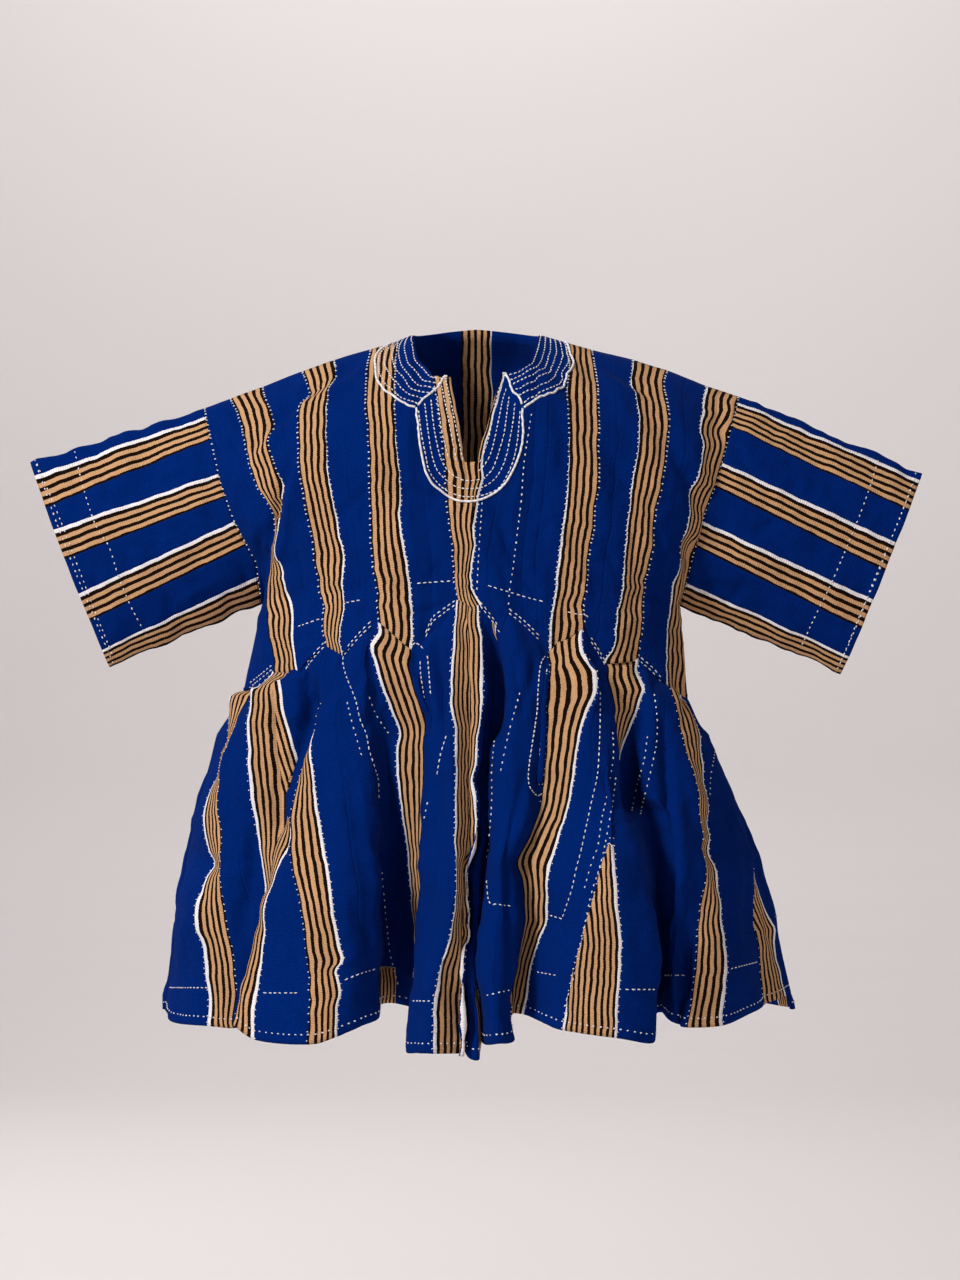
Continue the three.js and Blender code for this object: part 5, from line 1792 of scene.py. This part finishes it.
SLEEVE_LINES_SEWN = placed_lines([  # (stitch, readings at the corners of its line)
    (DOTTED, [(74, 450), (83, 487), (96, 525), (109, 546), (118, 574), (130, 605), (149, 640)]),
    (DOTTED, [(879, 459), (870, 487), (858, 519), (844, 553), (830, 586), (815, 617), (800, 649)]),
    (DOTTED, [(36, 462), (60, 520), (85, 585), (112, 655)]),
    (DOTTED, [(916, 476), (895, 530), (868, 595), (842, 660)]),
])
HEM_LINES = placed_lines([  # (stitch, readings at the corners of its line)
    (RUNNING, [(170, 988), (210, 988)]),
    (RUNNING, [(262, 993), (300, 993)]),
    (RUNNING, [(343, 981), (360, 974), (378, 968)]),
    (RUNNING, [(412, 1001), (435, 1001)]),
    (DOTTED, [(486, 996), (500, 992), (512, 990)]),
    (RUNNING, [(536, 972), (556, 975)]),
    (RUNNING, [(624, 990), (657, 990)]),
    (RUNNING, [(665, 975), (690, 975)]),
    (RUNNING, [(730, 969), (757, 962)]),
    (RUNNING, [(550, 915), (565, 920)]),
])
BIB_ROWS = [placed_route(row) for row in (  # the rows follow the bib's cord inwards
    [(419, 410), (421.6, 432), (425.5, 454), (429.4, 471), (439, 484), (447, 490), (459, 495.5),
     (472, 497), (484.4, 494.7), (498.6, 488.4), (506.4, 477.4), (512.7, 463.3), (516.6, 444.4),
     (519.8, 419.3), (520.5, 410)],
    [(425, 403), (427, 425), (431, 450), (436, 468), (445, 479), (457, 487), (470, 489),
     (483, 487), (494, 480), (501, 470), (506, 457), (510, 440), (513, 420), (515, 402)],
    [(431, 399), (434, 425), (438, 448), (443, 464), (451, 474), (462, 480), (473, 481),
     (483, 478), (491, 471), (496, 462), (500, 448), (504, 432), (507, 412), (510, 394)],
    [(437, 396), (441, 425), (445, 445), (449, 458)],
    [(478, 472), (486, 463), (491, 452), (495, 438), (499, 418), (503, 400), (506, 389)],
    [(480, 463), (485, 450), (489, 435), (494, 412), (498, 392), (502, 383)],
    [(441, 382), (449, 420), (457, 462)],
    [(446, 380), (456, 425), (464, 464)],
)]


@dataclass
class Sewing:
    """Hand stitches in white cotton, each a short raised thread."""

    cloth: Cloth
    dice: random.Random = field(default_factory=lambda: random.Random(5))
    threads: list[tuple[Vector, Vector, Vector, float]] = field(default_factory=list)

    def stitch(self, a: Vector, b: Vector, normal: Vector, radius: float) -> None:
        """Adds one stitch that dips into the cloth at both its ends."""
        top = (a + b) / 2 + normal * (radius * 0.95)
        self.threads.append((a + normal * 0.05, top, b + normal * 0.05, radius))

    def along(self, path: Sequence[tuple[Vector, Vector]], kind: Stitch) -> None:
        """Runs stitches along a path on the cloth.

        Args:
            path: closely spaced spots with their normals.
            kind: the stitch.
        """
        reach = [0.0]
        for (a, _), (b, _) in zip(path, path[1:]):
            reach.append(reach[-1] + (b - a).length)

        def spot(s: float) -> tuple[Vector, Vector]:
            """The path's spot and normal at a length along it."""
            i = 1
            while i < len(reach) - 1 and reach[i] < s:
                i += 1
            t = clamp01((s - reach[i - 1]) / max(reach[i] - reach[i - 1], 1e-6))
            return path[i - 1][0].lerp(path[i][0], t), path[i - 1][1].lerp(path[i][1], t)

        s = kind.gap * 0.5
        while s + kind.length < reach[-1]:
            length = kind.length * self.dice.uniform(0.8, 1.15)
            a, normal = spot(s)
            b, _ = spot(s + length)
            if (b - a).length < 2.5 * kind.length:
                wobble = normal.cross(b - a).normalized() * self.dice.uniform(-0.25, 0.25)
                self.stitch(a + wobble, b - wobble, normal.normalized(),
                            kind.radius * self.dice.uniform(0.85, 1.1))
            s += length + kind.gap * self.dice.uniform(0.8, 1.2)

    def run(self, route: Sequence[tuple[float, float]], kind: Stitch = RUNNING) -> None:
        """Runs stitches along a route given as the eye sees it.

        Args:
            route: (x, z) corners in the plane of the shoulders.
            kind: the stitch.
        """
        corners = [Vector((x, 0.0, z)) for x, z in route]
        total = sum((b - a).length for a, b in zip(corners, corners[1:]))
        n = len(corners) - 1
        curved = [Vector(tuple(smooth([c[k] for c in corners], t * n / (12 * n))
                               for k in range(3))) for t in range(12 * n + 1)]
        path = []
        for p in resample(curved, max(int(total / 1.6), 3)):
            hit = self.cloth.seen_at(p.x, p.z)
            if hit is not None and hit[0].y > 0:
                hit = None
            if hit is None or (path and (hit[0] - path[-1][0]).length > 14):
                if len(path) > 2:
                    self.along(path, kind)
                path = [] if hit is None else [hit]
                continue
            path.append(hit)
        if len(path) > 2:
            self.along(path, kind)

    def run_near(self, route: Sequence[Vector], kind: Stitch = CLOSE_RUNNING) -> None:
        """Runs stitches along a route of points near the cloth."""
        total = sum((b - a).length for a, b in zip(route, route[1:]))
        path = [self.cloth.nearest(p) for p in resample(route, max(int(total / 1.6), 3))]
        self.along(path, kind)

    def whip(self, panel: ClothPanel, line: str, toward: int, first: float = 0.0,
             last: float = 99.0, kind: Stitch = WHIP) -> None:
        """Whip stitches over a seam between two strips.

        Args:
            panel: the panel that is sewn.
            line: the line that the seam follows.
            toward: -1 where the stitches show left of the seam, 1 where right of it.
            first: the first row that is sewn.
            last: the last row that is sewn.
            kind: the stitch.
        """
        c = panel.line_column(line)
        rows = [r for r, row in enumerate(panel.rows()) if first <= row <= last]
        spots = [(panel.grid[r][c], panel.normals[r][c]) for r in rows]
        reach, want = 0.0, kind.gap * 0.5
        last_c = len(panel.grid[0]) - 1
        for (a, na), (b, _), r in zip(spots, spots[1:], rows):
            run = (b - a).length
            while want < reach + run:
                t = (want - reach) / run
                seam = a.lerp(b, t)
                c2 = min(max(c + toward, 0), last_c)
                side = panel.grid[r][c2] - panel.grid[r][c]
                if side.length < 1e-6:
                    side = Vector((float(toward), 0.0, 0.0))
                side = side.normalized()
                down = (b - a).normalized()
                length = kind.length * self.dice.uniform(0.8, 1.15)
                slant = down * self.dice.uniform(0.0, 1.0)
                self.stitch(seam - side * 0.5, seam + side * length + slant, na,
                            kind.radius * self.dice.uniform(0.85, 1.15))
                want += (kind.length + kind.gap) * 0.72 * self.dice.uniform(0.7, 1.3)
            reach += run

    def build(self, name: str, cotton: bpy.types.Material) -> bpy.types.Object:
        """Turns all stitches added so far into one piece, and starts afresh.

        Args:
            name: the piece's name.
            cotton: its material.

        Returns:
            The piece.
        """
        data = bpy.data.curves.new(name, "CURVE")
        data.dimensions = "3D"
        data.bevel_depth, data.bevel_resolution = 1.0 * MM, 0
        for a, top, b, radius in self.threads:
            spline = data.splines.new("POLY")
            spline.points.add(2)
            for point, p, share in zip(spline.points, (a, top, b), (0.72, 1.0, 0.72)):
                point.co = (*(p * MM), 1.0)
                point.radius = radius * share
        data.materials.append(cotton)
        made = bpy.data.objects.new(name, data)
        bpy.context.scene.collection.objects.link(made)
        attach(made, "root")
        LOG.info("%s: %d stitches", name, len(self.threads))
        self.threads = []
        return made


@dataclass
class PocketBinding:
    """The bound edge of a pocket slit: a narrow folded strip laid along a line of the skirt."""

    node: str
    line: str
    first: float
    last: float
    width: float               # to the right of the line where positive
    thickness: float = 1.4
    lift: float = 0.5

    def build(self, skirt: ClothPanel, cloth: bpy.types.Material) -> bpy.types.Object:
        """Builds the binding in place of its solid.

        Args:
            skirt: the skirt that it is laid on.
            cloth: its material.

        Returns:
            The binding.
        """
        c = skirt.line_column(self.line)
        rows = [r for r, row in enumerate(skirt.rows()) if self.first <= row <= self.last]
        step = 1 if self.width > 0 else -1
        n = len(rows) - 1
        bm = bmesh.new()
        readings = bm.loops.layers.uv.new("cloth_mm")
        bmesh.ops.create_grid(bm, x_segments=4, y_segments=n, size=0.5)
        for face in bm.faces:
            for loop in face.loops:
                u, v = loop.vert.co.x + 0.5, loop.vert.co.y + 0.5
                loop[readings].uv = (PLAIN_BLUE + 20 + u * 8, v * n * 5.0)
        for vert in bm.verts:
            u, k = vert.co.x + 0.5, round((vert.co.y + 0.5) * n)
            share = u if step > 0 else 1 - u
            r = rows[k]
            near, far = skirt.grid[r][c], skirt.grid[r][c + 2 * step]
            across = (far - near).normalized() * abs(self.width) * share
            bulge = math.sin(math.pi * share) * 0.8
            out = skirt.normals[r][c]
            vert.co = (near + across + out * (self.lift + self.thickness + bulge)) * MM
        bmesh.ops.reverse_faces(bm, faces=bm.faces)
        mesh = bpy.data.meshes.new(self.node + "_cloth")
        bm.to_mesh(mesh)
        bm.free()
        mesh.polygons.foreach_set("use_smooth", [True] * len(mesh.polygons))
        mesh.materials.append(cloth)
        made = bpy.data.objects.new(self.node + "_cloth", mesh)
        bpy.context.scene.collection.objects.link(made)
        wall = made.modifiers.new("wall", "SOLIDIFY")
        wall.thickness, wall.offset = self.thickness * MM, -1.0
        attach(made, "root")
        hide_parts(self.node)
        return made


FRONT_SEAMS = [  # (line, side the stitches show on, first row, last row)
    ("band3_l", -1, 0, 2.4), ("band3_r", 1, 0, 2.3), ("band2_l", -1, 0, 4),
    ("band2_r", 1, 0, 4), ("band1_l", -1, 0, 4), ("band1_r", 1, 0, 4),
    ("band0_l", -1, 0, 4), ("band0_r", 1, 0.95, 4), ("rband1_l", -1, 0, 4),
    ("rband1_r", 1, 0, 4), ("rband2_l", -1, 0, 4), ("rband2_r", 1, 0, 4),
    ("rband3_l", -1, 0, 4), ("side_l", 1, 0, 3.3), ("side_r", -1, 0, 3.3),
]
SKIRT_SEAMS = [  # (line, side the stitches show on, first row, last row)
    ("sa_l", -1, 0.5, 3), ("sa_r", 1, 0.7, 2.8), ("sb_l", -1, 0, 1.8), ("sc_r", 1, 1.8, 3),
    ("sd_l", -1, 1.2, 3), ("sd_r", 1, 0.5, 3), ("se_l", -1, 0, 2.3), ("c_l", -1, 0, 3),
    ("c_r", 1, 0, 2.6), ("sg_l", -1, 0, 1.5), ("sg_r", 1, 0, 3), ("sh_l", -1, 1.7, 3),
    ("sh_r", 1, 1.7, 3), ("si_r", 1, 0, 0.9), ("sj_l", -1, 0, 3), ("sj_r", 1, 0.4, 3),
    ("sk_l", -1, 2.0, 3),
]


@dataclass
class HandSewing:
    """All the hand sewing, panel by panel."""

    sewing: Sewing
    front: FrontBodice
    back: BackBodice
    sleeves: Sequence[Sleeve]
    skirt: FrontSkirt
    back_skirt: BackSkirt
    neck_rows: int = 6

    def ring(self) -> None:
        """Rows of stitches round the neck, between its edge and the ring's cord."""
        front, back = self.front, self.back
        cord = [Vector(p) for p in NECK_RING_CORD]
        slit_l, neck_l = front.line_column("slit_l"), front.line_column("neck_l")
        slit_r, neck_r = front.line_column("slit_r"), front.line_column("neck_r")
        half = FORM.neck_half_width
        arcs = [
            ([front.grid[0][c] for c in range(slit_l, neck_l - 1, -1)], cord[:8]),
            ([p for p in back.grid[0] if -half <= p.x <= half], cord[7:16]),
            ([front.grid[0][c] for c in range(neck_r, slit_r - 1, -1)], cord[15:]),
        ]
        for k in range(self.neck_rows):
            t = (k + 0.45) / self.neck_rows
            route = []
            for inner, outer in arcs:
                pairs = zip(resample(inner, 24), resample(outer, 24))
                route += [a.lerp(b, t) for a, b in pairs]
            self.sewing.run_near(route)

    def bodice(self, cotton: bpy.types.Material) -> None:
        """Neck, bib and strip seams of the bodice, front and back."""
        self.ring()
        for row in BIB_ROWS:
            self.sewing.run(row, CLOSE_RUNNING)
        self.sewing.build("stitches_neck", cotton)
        for line, side, first, last in FRONT_SEAMS:
            self.sewing.whip(self.front, line, side, first, last)
        for kind, route in BODICE_LINES:
            self.sewing.run(route, kind)
        for kind, route in WAIST_LINES:
            for drop in (0.0, 5.0):
                self.sewing.run([(x, z - drop + 4) for x, z in route], kind)
        self.sewing.build("stitches_bodice_front", cotton)
        for line in self.back.lines()[1:-1]:
            self.sewing.whip(self.back, line, -1 if line.endswith("_l") else 1)
        self.row(self.back, 3.9, RUNNING)
        self.sewing.build("stitches_bodice_back", cotton)

    def row(self, panel: ClothPanel, row: float, kind: Stitch) -> None:
        """Running stitches along the grid row nearest to a row of a panel."""
        rows = panel.rows()
        r = min(range(len(rows)), key=lambda k: abs(rows[k] - row))
        self.sewing.along(list(zip(panel.grid[r], panel.normals[r])), kind)

    def sleeve_pair(self, cotton: bpy.types.Material) -> None:
        """Cuff hems and the fold line of both sleeves."""
        for sleeve in self.sleeves:
            self.row(sleeve, 0.975, DOTTED)
            self.sewing.build("stitches_" + sleeve.node, cotton)
        for kind, route in SLEEVE_LINES_SEWN:
            self.sewing.run(route, kind)
        self.sewing.build("stitches_sleeve_folds", cotton)

    def skirts(self, cotton: bpy.types.Material) -> None:
        """Strip seams, gathers, pockets and hems of both skirts."""
        for line, side, first, last in SKIRT_SEAMS:
            self.sewing.whip(self.skirt, line, side, first, last, SKIRT_WHIP)
        for kind, route in [*SKIRT_LINES_SEWN, *POCKET_STITCHES, *HEM_LINES]:
            self.sewing.run(route, kind)
        self.row(self.skirt, 2.93, DOTTED)
        self.sewing.build("stitches_skirt_front", cotton)
        for name, _, _, section in self.back_skirt.entries[1:-1]:
            first = 1.6 if name.startswith("g") else 0.0
            self.sewing.whip(self.back_skirt, name, -1 if name.endswith("_l") else 1, first,
                             kind=SKIRT_WHIP)
        for place in (2.4, 2.93):
            self.row(self.back_skirt, place, DOTTED)
        self.sewing.build("stitches_skirt_back", cotton)


# ---- the studio -----------------------------------------------------------------------------
@dataclass(frozen=True)
class Studio:
    """Camera, soft lights, floor and backdrop. Metres."""

    eye: tuple[float, float, float] = (0.0034, -3.4, -0.333)
    lens: float = 84.6
    floor_z: float = -1.53
    wall_y: float = 5.4

    def camera(self) -> bpy.types.Object:
        """Makes the camera, level and square to the front."""
        data = bpy.data.cameras.new("camera")
        data.lens, data.sensor_width, data.sensor_fit = self.lens, 36.0, "AUTO"
        made = bpy.data.objects.new("camera", data)
        made.location, made.rotation_euler = self.eye, (math.pi / 2, 0.0, 0.0)
        bpy.context.scene.collection.objects.link(made)
        bpy.context.scene.camera = made
        return made

    def light(self, name: str, place: tuple[float, float, float], size: float, watts: float,
              looks_at: tuple[float, float, float] = (0.0, 0.0, -0.4)) -> None:
        """Adds a square soft light.

        Args:
            name: the light's name.
            place: where it stands.
            size: the side of its square.
            watts: its power.
            looks_at: where it looks.
        """
        data = bpy.data.lights.new(name, "AREA")
        data.size, data.energy = size, watts
        made = bpy.data.objects.new(name, data)
        made.location = place
        made.rotation_mode = "QUATERNION"
        aim = Vector(looks_at) - Vector(place)
        made.rotation_quaternion = aim.to_track_quat("-Z", "Y")
        bpy.context.scene.collection.objects.link(made)

    def backdrop(self, paper: bpy.types.Material) -> bpy.types.Object:
        """Makes the floor and the walls as one sheet of paper that sweeps up all round."""
        bm = bmesh.new()
        bmesh.ops.create_grid(bm, x_segments=1, y_segments=1, size=8.0)
        for vert in bm.verts:
            vert.co.z = self.floor_z
            vert.co.y = self.wall_y if vert.co.y > 0 else -8.0
        wall = list(bm.edges)
        raised = bmesh.ops.extrude_edge_only(bm, edges=wall)["geom"]
        bmesh.ops.translate(bm, vec=(0, 0, 8.0),
                            verts=[v for v in raised if isinstance(v, bmesh.types.BMVert)])
        bmesh.ops.bevel(bm, geom=wall, offset=0.8, segments=12, profile=0.5, affect="EDGES",
                        material=-1)
        bmesh.ops.recalc_face_normals(bm, faces=bm.faces)
        mesh = bpy.data.meshes.new("backdrop")
        bm.to_mesh(mesh)
        bm.free()
        mesh.polygons.foreach_set("use_smooth", [True] * len(mesh.polygons))
        mesh.materials.append(paper)
        made = bpy.data.objects.new("backdrop", mesh)
        bpy.context.scene.collection.objects.link(made)
        return made

    def build(self) -> None:
        """Sets the whole studio up."""
        self.camera()
        self.backdrop(StudioPaper().make())
        self.light("key", (-2.4, -2.4, 1.9), 0.75, 138.0)
        self.light("fill", (2.3, -2.6, 0.4), 1.8, 14.0)
        self.light("wall_wash", (0.0, 3.2, 3.2), 2.8, 72.0, (0.0, self.wall_y, -0.2))
        self.light("back_fill", (-2.0, 3.0, 2.0), 1.8, 60.0)
        world = bpy.data.worlds.new("studio_air")
        world.use_nodes = True
        air = world.node_tree.nodes["Background"]
        air.inputs[0].default_value = linear("#e6e8ee")
        air.inputs[1].default_value = 0.24
        bpy.context.scene.world = world
        bpy.context.scene.view_settings.view_transform = "Standard"


def main() -> None:
    """Builds the studio, the panels, the trim and the sewing, and logs each panel and each piece of
    sewing.
    """
    logging.basicConfig(level=logging.INFO, format="%(name)s: %(message)s")
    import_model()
    Studio().build()
    cloth, cotton = StripCloth().make(), CottonThread().make()
    front = FrontBodice("bodice_front", (0.6, 0.42), 0.215, Hold.DRAPED,
                        courses=BODICE_COURSES, creases=BODICE_CREASES)
    back = BackBodice("bodice_back", (0.6, 0.42), 0.225, Hold.DRAPED, creases=BACK_CREASES)
    sleeves = [
        Sleeve("sleeve_left", (0.56, 0.23), 0.108, Hold.DRAPED, outward=-1, closed=True,
               side="left", creases=SLEEVE_CREASES),
        Sleeve("sleeve_right", (0.56, 0.25), 0.117, Hold.DRAPED, outward=1, closed=True,
               side="right", creases=SLEEVE_CREASES, full_bands=("s1_w",)),
    ]
    for panel in (front, back, *sleeves):
        panel.build(cloth)
    skirt = FrontSkirt("skirt_front", (1.36, 0.44), 0.46, Hold.GATHERED,
                       courses=SKIRT_COURSES, creases=SKIRT_CREASES, waist=front,
                       sway_share=0.45, gathers=2.6)
    back_skirt = BackSkirt("skirt_back", (1.2, 0.44), 0.4, Hold.GATHERED, waist=back,
                           creases=BACK_SKIRT_CREASES, sway_share=0.45, gathers=2.6)
    skirt.build(cloth)
    back_skirt.build(cloth)
    PocketBinding("pocket_left", "se_r", 0.28, 1.0, 7.0).build(skirt, cloth)
    PocketBinding("pocket_right", "sg_l", 0.28, 1.35, -7.0).build(skirt, cloth)
    bodice_faces = Cloth((front, back))
    for cord in (
        Cord("cord_neck_ring", NECK_RING_CORD, 150),
        Cord("cord_bib", BIB_CORD, 70),
        Cord("cord_mitre_left", MITRE_LEFT, 12),
        Cord("cord_mitre_right", MITRE_RIGHT, 12),
    ):
        cord.build(bodice_faces, cotton)
    sewing = Sewing(Cloth((front, back, *sleeves, skirt, back_skirt)))
    sewn = HandSewing(sewing, front, back, sleeves, skirt, back_skirt)
    sewn.bodice(cotton)
    sewn.sleeve_pair(cotton)
    sewn.skirts(cotton)


if __name__ == "__main__":
    main()
